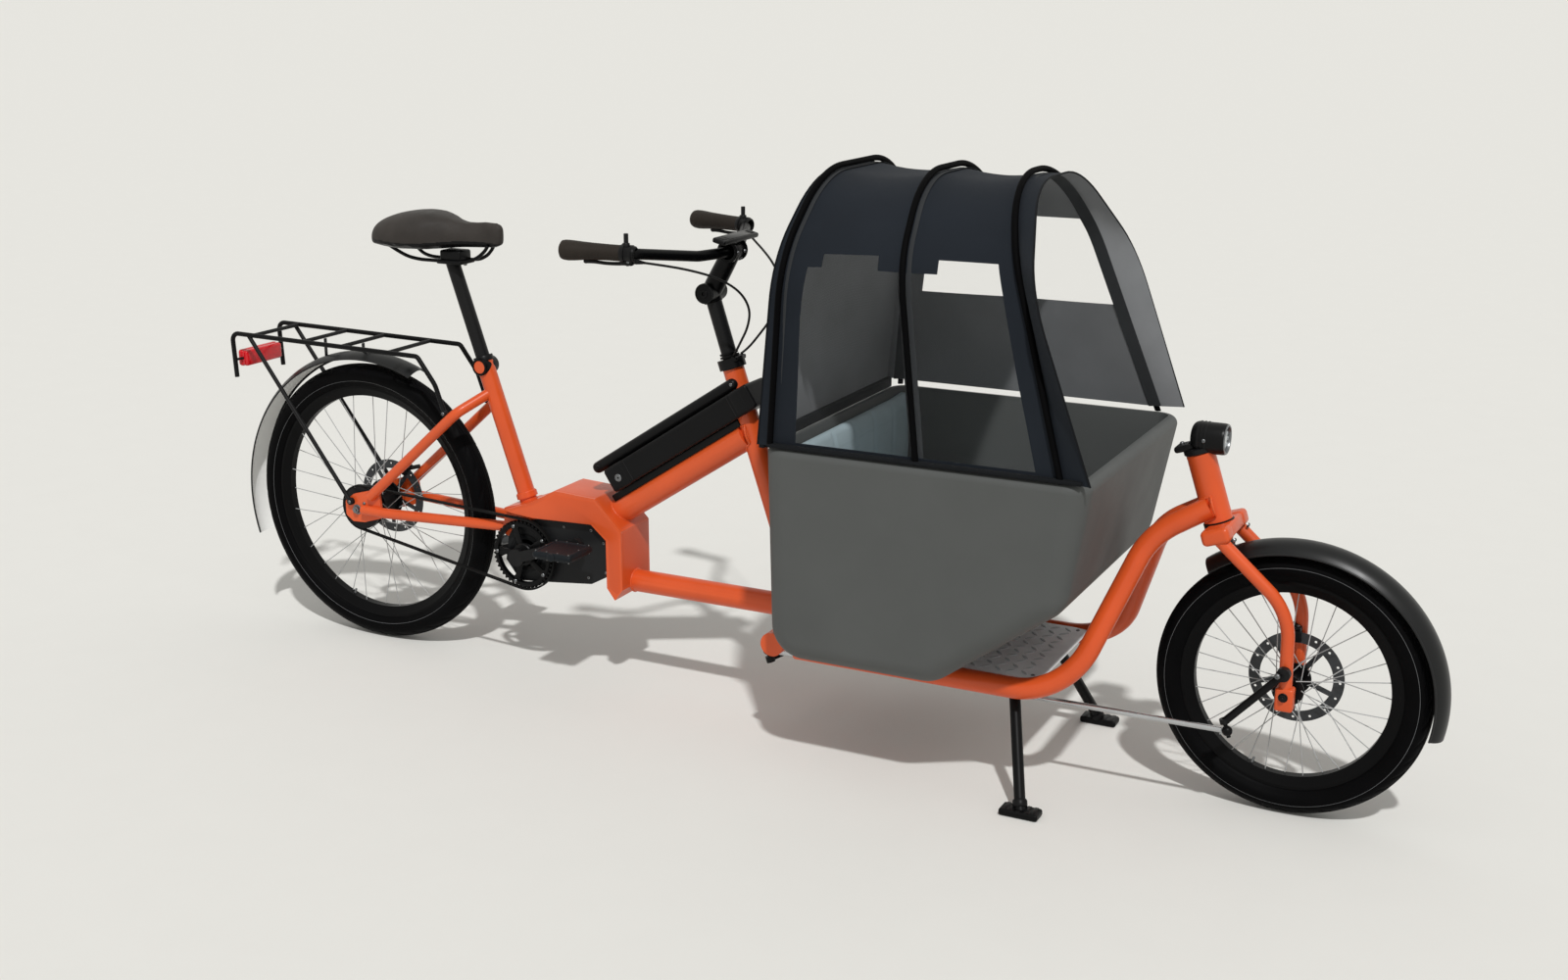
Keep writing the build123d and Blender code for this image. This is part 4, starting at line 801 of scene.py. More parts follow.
def front_posts(parts):
    crown = Vector((1984 + math.tan(math.radians(18.5)) * (617 - 549), 0, 549))
    axle = Vector((WHEELBASE, 0, FRONT_R))
    way = (crown - axle).normalized()
    parts.add(*turned([(0, 0), (12, 0), (12, 30), (11, 36), (0, 36)], axle + way * 281, way, 20))


fender("rear_fender_shell", "frame", -3, 323, 377, 64, 13, 67, 197, "rear_fender", rear_posts)
fender("front_fender_shell", "fork", WHEELBASE, FRONT_R, 285, 74, 20, -12, 128, "front_fender",
    front_posts)


# ------------------------------------------------------------ saddle
SADDLE_SHAPE = (
    (80, 60, 964, 1006), (82, 69, 963, 1012), (88, 76, 962, 1018), (99, 81, 962, 1024),
    (114, 85, 961, 1029),
    (132, 88, 961, 1034), (160, 90, 961, 1038), (190, 88, 962, 1039), (220, 79, 962, 1037),
    (250, 63, 964, 1030),
    (275, 47, 966, 1022), (300, 36, 968, 1017), (330, 27, 969, 1018), (355, 22, 970, 1021),
    (380, 19, 971, 1025),
    (391, 15, 973, 1023), (396, 9, 977, 1017),
)


def saddle():
    """Saddle with a firm black base and a padded, grained cover."""
    n = 40
    shrink = 3.0
    verts, faces = [], []
    for x, half, low, high in SADDLE_SHAPE:
        half -= shrink
        low += 1.0
        high -= shrink
        middle = low + (high - low) * 0.30
        for k in range(n):
            a = 2 * math.pi * k / n
            c, s = math.cos(a), math.sin(a)
            px = abs(c) ** 0.75 * (1 if c > 0 else -1)
            pz = abs(s) ** 0.9 * (1 if s > 0 else -1)
            y = half * px
            z = middle + (high - middle) * pz if s > 0 else middle + (middle - low) * abs(s) ** 0.25 * (-1)
            verts.append((x, y, z))
    rows = len(SADDLE_SHAPE)
    for i in range(rows - 1):
        for k in range(n):
            m = (k + 1) % n
            faces.append((i * n + k, (i + 1) * n + k, (i + 1) * n + m, i * n + m))
    faces.append(tuple(range(n)))
    faces.append(tuple((rows - 1) * n + k for k in range(n - 1, -1, -1)))
    obj = new_object("saddle_pad", verts, faces)
    inflate(obj, 4.5, 5.0, pressure=5.0)
    mesh = obj.data
    mesh.materials.clear()
    mesh.materials.append(SADDLE)
    mesh.materials.append(PLASTIC)
    for polygon in mesh.polygons:
        z = polygon.center.z * 1000
        x = (polygon.center.x + MID) * 1000
        polygon.material_index = 1 if z < 977 + 3 * math.sin(x / 40) else 0
    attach(obj, "frame")
    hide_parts("saddle")
    return obj


saddle()


# ------------------------------------------------------------ cushions
def cushion(name, replaced, cap, channels):
    """Padded cushion in its CAD solid's space, with sewn channels."""
    low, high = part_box(replaced)
    lo = [low[i] * 1000 for i in range(3)]
    hi = [high[i] * 1000 for i in range(3)]
    lo[0] += MID_MM
    hi[0] += MID_MM
    gap = 4.0
    size = [hi[i] - lo[i] - 2 * gap for i in range(3)]
    mid = [(hi[i] + lo[i]) / 2 for i in range(3)]
    parts = Parts()
    block(parts, mid, size, bevel=min(size) * 0.42, steps=5)
    obj = new_object(name, parts.verts, parts.faces)
    inflate(obj, 6.0, cap, pressure=4.0)
    axis, places, depth, width = channels
    mesh = obj.data
    co = np.empty(len(mesh.vertices) * 3)
    mesh.vertices.foreach_get("co", co)
    co = co.reshape(-1, 3)
    mm = co * 1000 + np.array([MID_MM, 0, 0])
    thin = int(np.argmin(size))
    side = mm[:, thin] - mid[thin]
    for place in places:
        d = (mm[:, axis] - place) / width
        pull = depth * np.exp(-d * d) * np.clip(side / (size[thin] / 2), 0, 1)
        mm[:, thin] -= pull
    co = (mm - np.array([MID_MM, 0, 0])) / 1000
    mesh.vertices.foreach_set("co", co.ravel())
    mesh.update()
    mesh.materials.clear()
    mesh.materials.append(CUSHION)
    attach(obj, "frame")
    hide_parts(replaced)
    return obj


cushion("seat_pad", "seat_cushion", 6.0, (1, (-195, -98, 0, 98, 195), 7.0, 7.0))
cushion("back_pad", "back_cushion", 5.0, (1, (-195, -98, 0, 98, 195), 5.0, 7.0))


# ------------------------------------------------------------ tent
RIM_Z = 682.0
HOOPS = (
    (1216.0, 1251.0, 322.0, 366.0, 165.0, 320.0),
    (1516.0, 1444.0, 290.0, 367.0, 142.0, 320.0),
    (1793.0, 1618.0, 238.0, 400.0, 128.0, 320.0),
)
FLAP = (1849.0, 1660.0, 330.0, 360.0, 130.0, 333.0)
FAR_HEM = 12.0
CROWN_Z = 1200.0
ARCH_RADII = (200.0, 230.0, 230.0, 200.0)


def arch_points(base_y, leg_y, leg_z, crown_y, height, inset, sag, sink, n=72):
    """Evenly spaced points of an arch moved in parallel by inset, from the right foot over to the left."""
    corners = [(-base_y, 0.0), (-leg_y, leg_z), (-crown_y, height - sag), (crown_y, height - sag)]
    corners += [(leg_y, leg_z), (base_y, 0.0)]
    corners = [Vector((y, z)) for y, z in corners]
    lines = []
    for a, b in zip(corners, corners[1:]):
        way = (b - a).normalized()
        inward = Vector((way.y, -way.x))
        lines.append((a + inward * inset, way))
    points = []
    first, way = lines[0]
    points.append(first + way * ((sink - first.y) / way.y))
    for (p, d), (q, e) in zip(lines, lines[1:]):
        cross = d.x * e.y - d.y * e.x
        t = ((q - p).x * e.y - (q - p).y * e.x) / cross
        points.append(p + d * t)
    last, way = lines[-1]
    points.append(last + way * ((sink + FAR_HEM - last.y) / way.y))
    path = [points[0]]
    for a, b, c, r in zip(points, points[1:], points[2:], ARCH_RADII):
        u, v = (a - b).normalized(), (c - b).normalized()
        half = u.angle(v) / 2
        r -= inset
        cut = r / math.tan(half)
        centre = b + (u + v).normalized() * (r / math.sin(half))
        s, e = b + u * cut, b + v * cut
        for k in range(25):
            w = (s - centre).normalized().slerp((e - centre).normalized(), k / 24)
            path.append(centre + w.normalized() * r)
    path.append(points[-1])
    lengths = [0.0]
    for a, b in zip(path, path[1:]):
        lengths.append(lengths[-1] + (b - a).length)
    out = []
    k = 0
    for i in range(n + 1):
        want = lengths[-1] * i / n
        while k < len(path) - 2 and lengths[k + 1] < want:
            k += 1
        span = lengths[k + 1] - lengths[k]
        t = (want - lengths[k]) / span if span > 0 else 0
        out.append(path[k].lerp(path[k + 1], t))
    return out


def tent_rows():
    """Rows of points from the rear edge over the hoops to the front flap."""
    keys = [(HOOPS[0][0] - 30, HOOPS[0][1] - 15) + HOOPS[0][2:]] + list(HOOPS) + [FLAP]
    steps = [3, 14, 14, 5]
    rows = []
    for number, ((a, b), count) in enumerate(zip(zip(keys, keys[1:]), steps)):
        for k in range(count + (1 if number == len(steps) - 1 else 0)):
            t = k / count
            row = [p * (1 - t) + q * t for p, q in zip(a, b)]
            hang = 4 * t * (1 - t)
            sag = (11.0 if number in (1, 2) else 1.5) * hang
            press = (3.0 if number in (1, 2) else 0.5) * hang
            rows.append((row, sag, press, hang if number in (1, 2) else 0.0))
    return rows


def tent_grid(inset):
    """Grid of points of the cover at an inset from the hoops' middle lines."""
    grid = []
    for number, (row, sag, press, hang) in enumerate(tent_rows()):
        base_x, top_x, leg_y, leg_z, crown_y, base_y = row
        rise = CROWN_Z - RIM_Z
        height = math.hypot(top_x - base_x, rise)
        lean_x, lean_z = (top_x - base_x) / height, rise / height
        points = arch_points(base_y, leg_y, leg_z, crown_y, height, inset, sag, 0.7)
        line = []
        for k, p in enumerate(points):
            y, up = p.x, p.y
            side = min(1.0, up / height)
            inward = press * math.sin(math.pi * side) * (1 - side) * 2
            wave = 0.9 * hang * math.sin(k * 0.9 + number * 0.35) * math.sin(math.pi * side)
            y -= (inward + wave) * (1 if y > 0 else -1) * (1 if abs(y) > 20 else 0)
            line.append((base_x + lean_x * up, y, RIM_Z + lean_z * up))
        grid.append(line)
    return grid


def tent_shell():
    """Cover as one sheet with its rear wall: outside cloth, inside lining."""
    outer = tent_grid(13.6)
    rows, cols = len(outer), len(outer[0])
    bm = bmesh.new()
    grid = [[bm.verts.new(at(*p)) for p in line] for line in outer]
    for i in range(rows - 1):
        for k in range(cols - 1):
            bm.faces.new((grid[i][k], grid[i][k + 1], grid[i + 1][k + 1], grid[i + 1][k]))
    rear = outer[0]
    half = cols // 2
    left = [rear[k] for k in range(half + 1)]
    right = [rear[cols - 1 - k] for k in range(half + 1)]
    lines = []
    for k in range(half + 1):
        a, b = left[k], right[k]
        if k == half:
            lines.append([grid[0][half]])
            continue
        line = [grid[0][k]]
        count = 16
        for j in range(1, count):
            t = j / count
            puff = 3.0 * math.sin(math.pi * t) * math.sin(math.pi * min(1, k / half))
            point = [a[i] * (1 - t) + b[i] * t for i in range(3)]
            point[0] -= puff
            line.append(bm.verts.new(at(*point)))
        line.append(grid[0][cols - 1 - k])
        lines.append(line)
    for a, b in zip(lines, lines[1:]):
        if len(b) == 1:
            for j in range(len(a) - 1):
                bm.faces.new((a[j], a[j + 1], b[0]))
        else:
            for j in range(len(a) - 1):
                bm.faces.new((a[j], a[j + 1], b[j + 1], b[j]))
    hem = lines[0]
    fold = [bm.verts.new(at((v.co.x + MID) * 1000 + 5, v.co.y * 1000 * 0.99, 682.6)) for v in hem]
    for j in range(len(hem) - 1):
        bm.faces.new((hem[j + 1], hem[j], fold[j], fold[j + 1]))
    bmesh.ops.recalc_face_normals(bm, faces=bm.faces[:])
    mesh = bpy.data.meshes.new("tent_sheet")
    bm.to_mesh(mesh)
    bm.free()
    top = max(mesh.polygons, key=lambda p: p.center.z)
    if top.normal.z < 0:
        mesh.flip_normals()
    obj = bpy.data.objects.new("tent_sheet", mesh)
    bpy.context.scene.collection.objects.link(obj)
    return obj


WINDOW_NEAR = [
    (1266, 694), (1273, 932), (1283, 1027), (1309, 1028), (1309, 1051), (1414, 1053), (1417, 1027),
    (1527, 1026),
    (1525, 1050), (1633, 1048), (1685, 870), (1742, 694),
]
WINDOW_FAR = [(1287, 1072), (1642, 1080), (1712, 905), (1268, 893)]


def prism(name, outline, side, grow):
    """Closed prism through one side of the tent, grown or shrunk a little."""
    n = len(outline)
    cx = sum(p[0] for p in outline) / n
    cz = sum(p[1] for p in outline) / n
    pts = []
    for x, z in outline:
        d = math.hypot(x - cx, z - cz)
        pts.append((x + (x - cx) / d * grow, z + (z - cz) / d * grow))
    near, far = (40, 420) if side > 0 else (-420, -40)
    verts = [(x, near, z) for x, z in pts] + [(x, far, z) for x, z in pts]
    faces = [tuple(range(n)), tuple(range(2 * n - 1, n - 1, -1))]
    faces += [(k, n + k, n + (k + 1) % n, (k + 1) % n) for k in range(n)]
    obj = new_object(name, verts, faces)
    bm = bmesh.new()
    bm.from_mesh(obj.data)
    bmesh.ops.recalc_face_normals(bm, faces=bm.faces[:])
    bm.to_mesh(obj.data)
    bm.free()
    return obj


def cut(obj, tool, operation):
    """Apply an exact boolean with a tool object, then drop the tool."""
    modifier = obj.modifiers.new("cut", "BOOLEAN")
    modifier.operation = operation
    modifier.solver = "EXACT"
    modifier.object = tool
    baked(obj)
    mesh = tool.data
    bpy.data.objects.remove(tool)
    bpy.data.meshes.remove(mesh)
    return obj


def tent():
    """Tent cover and its two clear windows."""
    sheet = tent_shell()
    thick = sheet.modifiers.new("thick", "SOLIDIFY")
    thick.thickness = 0.0012
    thick.offset = -1
    thick.material_offset = 1
    thick.use_even_offset = False
    sheet.data.materials.append(CLOTH)
    sheet.data.materials.append(LINING)
    baked(sheet)
    films = []
    for name, outline, side in (("window_near", WINDOW_NEAR, -1), ("window_far", WINDOW_FAR, 1)):
        film = sheet.copy()
        film.data = sheet.data.copy()
        film.name = name
        bpy.context.scene.collection.objects.link(film)
        cut(film, prism("tool", outline, side, -0.4), "INTERSECT")
        film.data.materials.clear()
        film.data.materials.append(FILM)
        for polygon in film.data.polygons:
            polygon.material_index = 0
        films.append(film)
    cut(sheet, prism("tool", WINDOW_NEAR, -1, 0), "DIFFERENCE")
    cut(sheet, prism("tool", WINDOW_FAR, 1, 0), "DIFFERENCE")
    sheet.data.shade_smooth()
    sheet.data.set_sharp_from_angle(angle=math.radians(40))
    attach(sheet, "frame")
    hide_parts("tent_cover")
    for film in films:
        film.data.shade_smooth()
        film.data.set_sharp_from_angle(angle=math.radians(40))
        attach(film, "frame")
        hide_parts("tent_windows")
    return sheet


tent()


# ------------------------------------------------------------ frame details
def slab_mesh(name, outline, low, high, bevel, materials, body, segments=4, replaces=()):
    """Side outline extruded across the bike with rounded edges."""
    n = len(outline)
    verts = [(x, low, z) for x, z in outline] + [(x, high, z) for x, z in outline]
    faces = [tuple(range(n)), tuple(range(2 * n - 1, n - 1, -1))]
    faces += [(k, n + k, n + (k + 1) % n, (k + 1) % n) for k in range(n)]
    obj = new_object(name, verts, faces)
    bm = bmesh.new()
    bm.from_mesh(obj.data)
    bmesh.ops.recalc_face_normals(bm, faces=bm.faces[:])
    weights = bm.edges.layers.float.new("bevel_weight_edge")
    for edge in bm.edges:
        if len(edge.link_faces) == 2 and edge.calc_face_angle() > math.radians(8):
            ends = [round((v.co.x + MID) * 1000) for v in edge.verts] + [round(v.co.z * 1000) for v in edge.verts]
            crest = min(ends[2:]) > 370 and max(ends[2:]) > 384 and abs(edge.verts[0].co.y - edge.verts[1].co.y) < 1e-6
            crest = crest and not any(v.co.z < 0.3795 and v.co.x + MID < 0.70 for v in edge.verts)
            front = min(ends[:2]) > 716
            edge[weights] = 0.5 if crest else (0.4 if front else 0.14)
    bm.to_mesh(obj.data)
    bm.free()
    rounding = obj.modifiers.new("rounding", "BEVEL")
    rounding.limit_method = "WEIGHT"
    rounding.width = bevel / 1000
    rounding.segments = segments
    baked(obj)
    for material in materials:
        obj.data.materials.append(material)
    obj.data.shade_smooth()
    obj.data.set_sharp_from_angle(angle=math.radians(40))
    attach(obj, body)
    if replaces:
        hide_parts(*replaces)
    return obj


BRIDGE = [
    (409.6, 383.4), (481.8, 410.6), (546.8, 445.6), (652.3, 440.6), (718.6, 374.2), (718.6, 239.6),
    (704.2, 225.2),
    (683.4, 237.8), (683.4, 347.8), (645.8, 379.4), (486, 373.4), (430, 377.4),
]
slab_mesh("motor_bridge", BRIDGE, -59.5, 59.5, 22.0, [ORANGE], "frame", 7)


def weld(parts, points, r=2.3):
    """Rippled weld bead along a closed path."""
    path = []
    for a, b in zip(points, points[1:] + points[:1]):
        a, b = Vector(a), Vector(b)
        count = max(1, int((b - a).length / 1.4))
        path += [a.lerp(b, k / count) for k in range(count)]
    radii = [r * (1 + 0.13 * math.sin(k * 1.9)) for k in range(len(path))]
    parts.add(*tube_mesh(path, radii, 8, closed=True))


def ring_points(centre, direction, radius, n=40):
    """Circle about a direction."""
    u, v, _ = axes_for(direction)
    return [Vector(centre) + (u * math.cos(2 * math.pi * k / n) + v * math.sin(2 * math.pi * k / n)) * radius
            for k in range(n)]


DOWN = Vector((math.cos(math.radians(33.2)), 0, math.sin(math.radians(33.2))))
OUT = Vector((-DOWN.z, 0, DOWN.x))
DOWN_FOOT = Vector((668, 0, 393))
LEAN = math.radians(18.5)
UP = Vector((-math.sin(LEAN), 0, math.cos(LEAN)))


def down_at(along, out, y=0.0):
    return DOWN_FOOT + DOWN * along + OUT * out + Vector((0, y, 0))


def rear_axis_at(z):
    return Vector((944 + math.tan(LEAN) * (827 - z), 0, z))


def front_axis_at(z):
    return Vector((1984 + math.tan(LEAN) * (617 - z), 0, z))


def seat_axis_at(z):
    return Vector((436 - math.tan(math.radians(18.8)) * (z - 396), 0, z))


def tube_on_plane(base, way, radius, normal, through, n=48):
    """Curve where a tube meets a plane."""
    u, v, w = axes_for(way)
    out = []
    for k in range(n):
        a = 2 * math.pi * k / n
        p = Vector(base) + (u * math.cos(a) + v * math.sin(a)) * radius
        t = (Vector(through) - p).dot(normal) / w.dot(normal)
        out.append(p + w * t)
    return out


def tube_on_tube(base, way, radius, axis_point, axis_way, big, side, n=56):
    """Curve where a tube runs into a larger round tube."""
    u, v, w = axes_for(way)
    axis_way = Vector(axis_way).normalized()
    out = []
    for k in range(n):
        a = 2 * math.pi * k / n
        p = Vector(base) + (u * math.cos(a) + v * math.sin(a)) * radius
        rel = p - Vector(axis_point)
        rel -= axis_way * rel.dot(axis_way)
        d = w - axis_way * w.dot(axis_way)
        qa, qb, qc = d.dot(d), 2 * rel.dot(d), rel.dot(rel) - big * big
        disc = max(0.0, qb * qb - 4 * qa * qc)
        t = (-qb + side * math.sqrt(disc)) / (2 * qa)
        out.append(p + w * t)
    return out


def frame_welds():
    """Weld beads of the frame."""
    parts = Parts()
    slope = Vector((0.7071, 0, 0.7071))
    weld(parts, tube_on_plane(DOWN_FOOT, DOWN, 30, slope, (652.3, 0, 440.6)), 2.6)
    weld(parts, ring_points((719, 0, 246), (1, 0, 0), 25), 2.4)
    weld(parts, tube_on_tube(down_at(200, 0), DOWN, 30, rear_axis_at(600), UP, 23, -1), 2.4)
    weld(parts, ring_points(seat_axis_at(413.5), seat_axis_at(500) - seat_axis_at(400), 20.4), 2.0)
    return parts.piece("weld_beads", [ORANGE], "frame", 60)


frame_welds()


# ------------------------------------------------------------ seat clamp and saddle clamp
def seat_clamps():
    """Rack boss on the seat tube, collar screw and the saddle clamp."""
    parts = Parts()
    centre = Vector((333, 0, 698))
    ring = [(14.5, -25), (14.5, 25), (19.0, 25), (20.0, 23.5), (20.0, -23.5), (19.0, -25)]
    parts.add(*ring_turned(ring, centre, (0, 1, 0), 40), 0)
    parts.add(*turned([(0, -24), (14.6, -24), (14.6, 24), (0, 24)], centre, (0, 1, 0), 32), 1)
    top = seat_axis_at(925)
    block(parts, (top.x + 8, 0, 944), (56, 44, 24), bevel=5, material=0)
    block(parts, (top.x + 8, 0, 930), (66, 56, 9), bevel=3, material=0)
    for dx in (-18, 34):
        screw(parts, (top.x + dx, 0, 925.5), (0, 0, -1), 4.5, 4, 2)
    return parts.piece("seat_clamps", [ANODISED, ORANGE, BOLT], "frame", 35)


seat_clamps()


# ------------------------------------------------------------ battery and guard bar
def along_block(parts, low, high, out_low, out_high, width, bevel, material=0, steps=4):
    """Rounded block lying along the down tube."""
    middle = down_at((low + high) / 2, (out_low + out_high) / 2)
    block(parts, middle, (high - low, width, out_high - out_low), (DOWN, Vector((0, 1, 0)), OUT),
        bevel, material, steps)


def guard_bar():
    """Slim padded bar over the battery on two short feet."""
    parts = Parts()
    along_block(parts, 24, 452, 93.5, 119, 64, 12, 0, 6)
    along_block(parts, 70, 110, 90, 102, 44, 3)
    along_block(parts, 380, 420, 90, 102, 44, 3)
    screw(parts, down_at(440, 119), OUT, 4.5, 2.2, 1)
    for y in (-31, 31):
        screw(parts, down_at(442, 106, y * 32 / 31), (0, y, 0), 4.0, 2.0, 1)
        screw(parts, down_at(44, 106, y * 32 / 31), (0, y, 0), 4.0, 2.0, 0)
    return parts.piece("guard_bar", [BATTERY, BOLT], "frame", 35, ["top_bar"])


guard_bar()


def battery_trim():
    """Lock, seams and end caps of the battery."""
    parts = Parts()
    for side in (-1, 1):
        y = side * 45
        lock = down_at(86, 62, y)
        profile = [(0, -1), (8.5, -1), (8.5, 1.2), (7.6, 1.9), (6.4, 1.9), (6.0, 1.2), (2.4, 1.2),
            (2.2, 0.6), (0, 0.6)]
        parts.add(*turned(profile, lock, (0, side, 0), 28), 1)
        for along in (118.0, 424.0):
            along_block_side(parts, along, y, side)
    along_block(parts, 56, 112, 36.5, 93.0, 91.4, 8, 0)
    along_block(parts, 426, 462, 40, 92.6, 91.2, 7.5, 0)
    return parts.piece("battery_trim", [BATTERY, BOLT], "frame", 35)


def along_block_side(parts, along, y, side):
    """Narrow seam rib on the battery's side."""
    middle = down_at(along, 65, y + side * 0.2)
    block(parts, middle, (1.6, 0.9, 46), (DOWN, Vector((0, 1, 0)), OUT), 0.3, 0, 1)


battery_trim()


# ------------------------------------------------------------ motor cover
def motor_cover():
    """Side covers of the motor: raised rim, stepped panel and screws."""
    parts = Parts()
    spots = [(470, 352), (560, 360), (632, 362), (664, 336), (668, 268), (622, 250), (520, 238)]
    for side in (-1, 1):
        y = side * 43.0
        for x, z in spots:
            parts.add(*turned([(0, -1), (6.5, -1), (6.5, 1.6), (5.6, 2.2), (0, 2.2)], (x, y, z),
                (0, side, 0), 18), 0)
            screw(parts, (x, y + side * 2.2, z), (0, side, 0), 3.6, 2.2, 1, 12)
        ring = [(34, -1), (34, 3.6), (35.2, 4.6), (43.0, 4.6), (44.4, 3.4), (44.4, -1)]
        parts.add(*ring_turned(ring, (457, y, 285), (0, side, 0), 56), 0)
        profile = [(0, -1), (33.5, -1), (33.5, 2.2), (32, 3.0), (22, 3.0), (20, 5.5), (13, 5.5),
            (13, 0), (0, 0)]
        parts.add(*turned(profile, (457, y, 285), (0, side, 0), 48), 0)
        for k in range(4):
            z = 300 - 13 * k
            block(parts, (590, y + side * 0.6, z), (92, 2.4, 4), bevel=0.8, material=0, steps=2)
    return parts.piece("motor_details", [MOTOR, BOLT], "frame", 35)


motor_cover()


# ------------------------------------------------------------ chainring and pedals
def belt_ring():
    """Toothed belt ring on a five-arm spider with bolts."""
    parts = Parts()
    centre = Vector((457, 0, 285))
    low, high = -62, -53
    teeth = 46
    n = teeth * 6
    shape = (74.5, 74.5, 77.4, 79.6, 79.6, 77.4)
    verts, faces = [], []
    for k in range(n):
        a = 2 * math.pi * k / n
        r = shape[k % 6]
        for rr, y in ((r, low), (r, high), (65.5, high), (65.5, low)):
            verts.append(centre + Vector((rr * math.cos(a), y, rr * math.sin(a))))
    for k in range(n):
        j = (k + 1) % n
        for q in range(4):
            w = (q + 1) % 4
            faces.append((k * 4 + q, j * 4 + q, j * 4 + w, k * 4 + w))
    parts.add(verts, faces, 0)
    guard = [(66, low - 2.4), (66, low + 0.2), (72.5, low + 0.2), (73.5, low - 0.6),
        (73.5, low - 1.8), (72.5, low - 2.4)]
    parts.add(*ring_turned(guard, centre, (0, 1, 0), 96), 0)
    for k in range(5):
        a = math.radians(72 * k + 36)
        way = Vector((math.cos(a), 0, math.sin(a)))
        flat = Vector((-way.z, 0, way.x))
        middle = centre + Vector((0, -57.5, 0)) + way * 45
        block(parts, middle, (46, 6, 14), (way, Vector((0, 1, 0)), flat), 2.2, 0, 3)
        block(parts, centre + Vector((0, -57.5, 0)) + way * 66, (14, 7, 20),
            (way, Vector((0, 1, 0)), flat), 2.4, 0, 3)
        screw(parts, centre + Vector((0, -64.4, 0)) + way * 68, (0, -1, 0), 4.2, 1.8, 1, 12)
    boss = [(12.3, -52.5), (12.3, -63.5), (24, -63.5), (26, -61.5), (26, -54), (24, -52.5)]
    parts.add(*ring_turned(boss, centre, (0, 1, 0), 40), 0)
    return parts.piece("belt_ring", [ANODISED, BOLT], "crank", 30, ["chainring"])


belt_ring()


def pedal_piece(name, body, side, replaced):
    """Platform pedal with a dished top, grip bars and steel pins."""
    low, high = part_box(replaced)
    middle = Vector(((low[0] + high[0]) / 2 * 1000 + MID_MM, 0, (low[2] + high[2]) / 2 * 1000))
    outer = max(abs(low[1]), abs(high[1])) * 1000
    inner = outer - 94
    cy = side * (inner + 47)
    parts = Parts()
    block(parts, (middle.x, cy, middle.z), (99, 93, 15), bevel=6.5, material=0, steps=5)
    for dx in (-43, 43):
        block(parts, (middle.x + dx, cy, middle.z), (8, 70, 18), bevel=2.6, material=0, steps=3)
    for dy in (-41, 41):
        block(parts, (middle.x, cy + dy, middle.z), (74, 7, 17.6), bevel=2.4, material=0, steps=3)
    for dx in (-42, -14, 14, 42):
        for dy in (-40, 0, 40):
            if abs(dx) < 20 and dy == 0:
                continue
            height = 8.6 if abs(dx) > 20 or dy else 7.2
            for up in (-1, 1):
                parts.add(*turned([(0, -1), (1.7, -1), (1.7, 1.2), (1.1, 1.8), (0, 1.8)],
                                  (middle.x + dx, cy + dy, middle.z + up * height), (0, 0, up),
                                  10), 1)
    axle_low = side * 76.5
    parts.add(*turned([(0, 0), (4.9, 0), (4.9, inner - 66), (0, inner - 66)],
        (middle.x, axle_low, middle.z),
                      (0, side, 0), 16), 1)
    parts.add(*turned([(0, -3), (9, -3), (9, 2), (7, 3), (0, 3)],
        (middle.x, side * (outer - 1), middle.z),
                      (0, side, 0), 20), 0)
    return parts.piece(name, [PEDAL, BOLT], body, 35, [replaced])


pedal_piece("pedal_right_platform", "pedal_r", -1, "pedal_right")
pedal_piece("pedal_left_platform", "pedal_l", 1, "pedal_left")


# ------------------------------------------------------------ step plate
def lozenges():
    """Raised pattern of the tread plate."""
    parts = Parts()
    top = 242.1
    pitch = 27.0
    for i in range(-3, 9):
        for j in range(-6, 7):
            x = 1611 + (i - 2.5) * pitch
            y = j * pitch
            if not 1512 < x < 1697 or abs(y) > 146:
                continue
            turn = math.radians(45 if (i + j) % 2 else -45)
            way = Vector((math.cos(turn), math.sin(turn), 0))
            flat = Vector((-way.y, way.x, 0))
            verts, faces = [], []
            n = 16
            rings = ((1.0, -0.4), (0.94, 0.7), (0.72, 1.35), (0.4, 1.6))
            for scale, up in rings:
                for k in range(n):
                    a = 2 * math.pi * k / n
                    c, s = math.cos(a), math.sin(a)
                    verts.append(Vector((x, y, top + up)) + way * (12.5 * c * scale)
                                 + flat * (3.6 * s * abs(s) ** 0.2 * (1 - 0.35 * c * c) * scale))
            for r in range(len(rings) - 1):
                for k in range(n):
                    m = (k + 1) % n
                    faces.append((r * n + k, r * n + m, (r + 1) * n + m, (r + 1) * n + k))
            faces.append(tuple(range(n - 1, -1, -1)))
            faces.append(tuple((len(rings) - 1) * n + k for k in range(n)))
            parts.add(verts, faces, 0)
    for x in (1524, 1698):
        for y in (-140, 140):
            screw(parts, (x, y, top), (0, 0, 1), 4.5, 2.0, 1)
    return parts.piece("plate_lozenges", [PLATE_RIB, BOLT], "frame", 50)


lozenges()


# ------------------------------------------------------------ frame tubes, fork, rack and lamp housing
def bent_path(points, radii, step=4.0):
    """Straight runs joined by arcs that touch them."""
    pts = [Vector(p) for p in points]
    path = [pts[0]]
    for a, b, c, r in zip(pts, pts[1:], pts[2:], radii):
        u, v = (a - b).normalized(), (c - b).normalized()
        half = u.angle(v) / 2
        cut_length = r / math.tan(half)
        centre = b + (u + v).normalized() * (r / math.sin(half))
        start, end = (b + u * cut_length) - centre, (b + v * cut_length) - centre
        count = max(6, int(r * (math.pi - 2 * half) / step))
        for k in range(count + 1):
            w = start.normalized().slerp(end.normalized(), k / count)
            path.append(centre + w.normalized() * r)
    path.append(pts[-1])
    return path


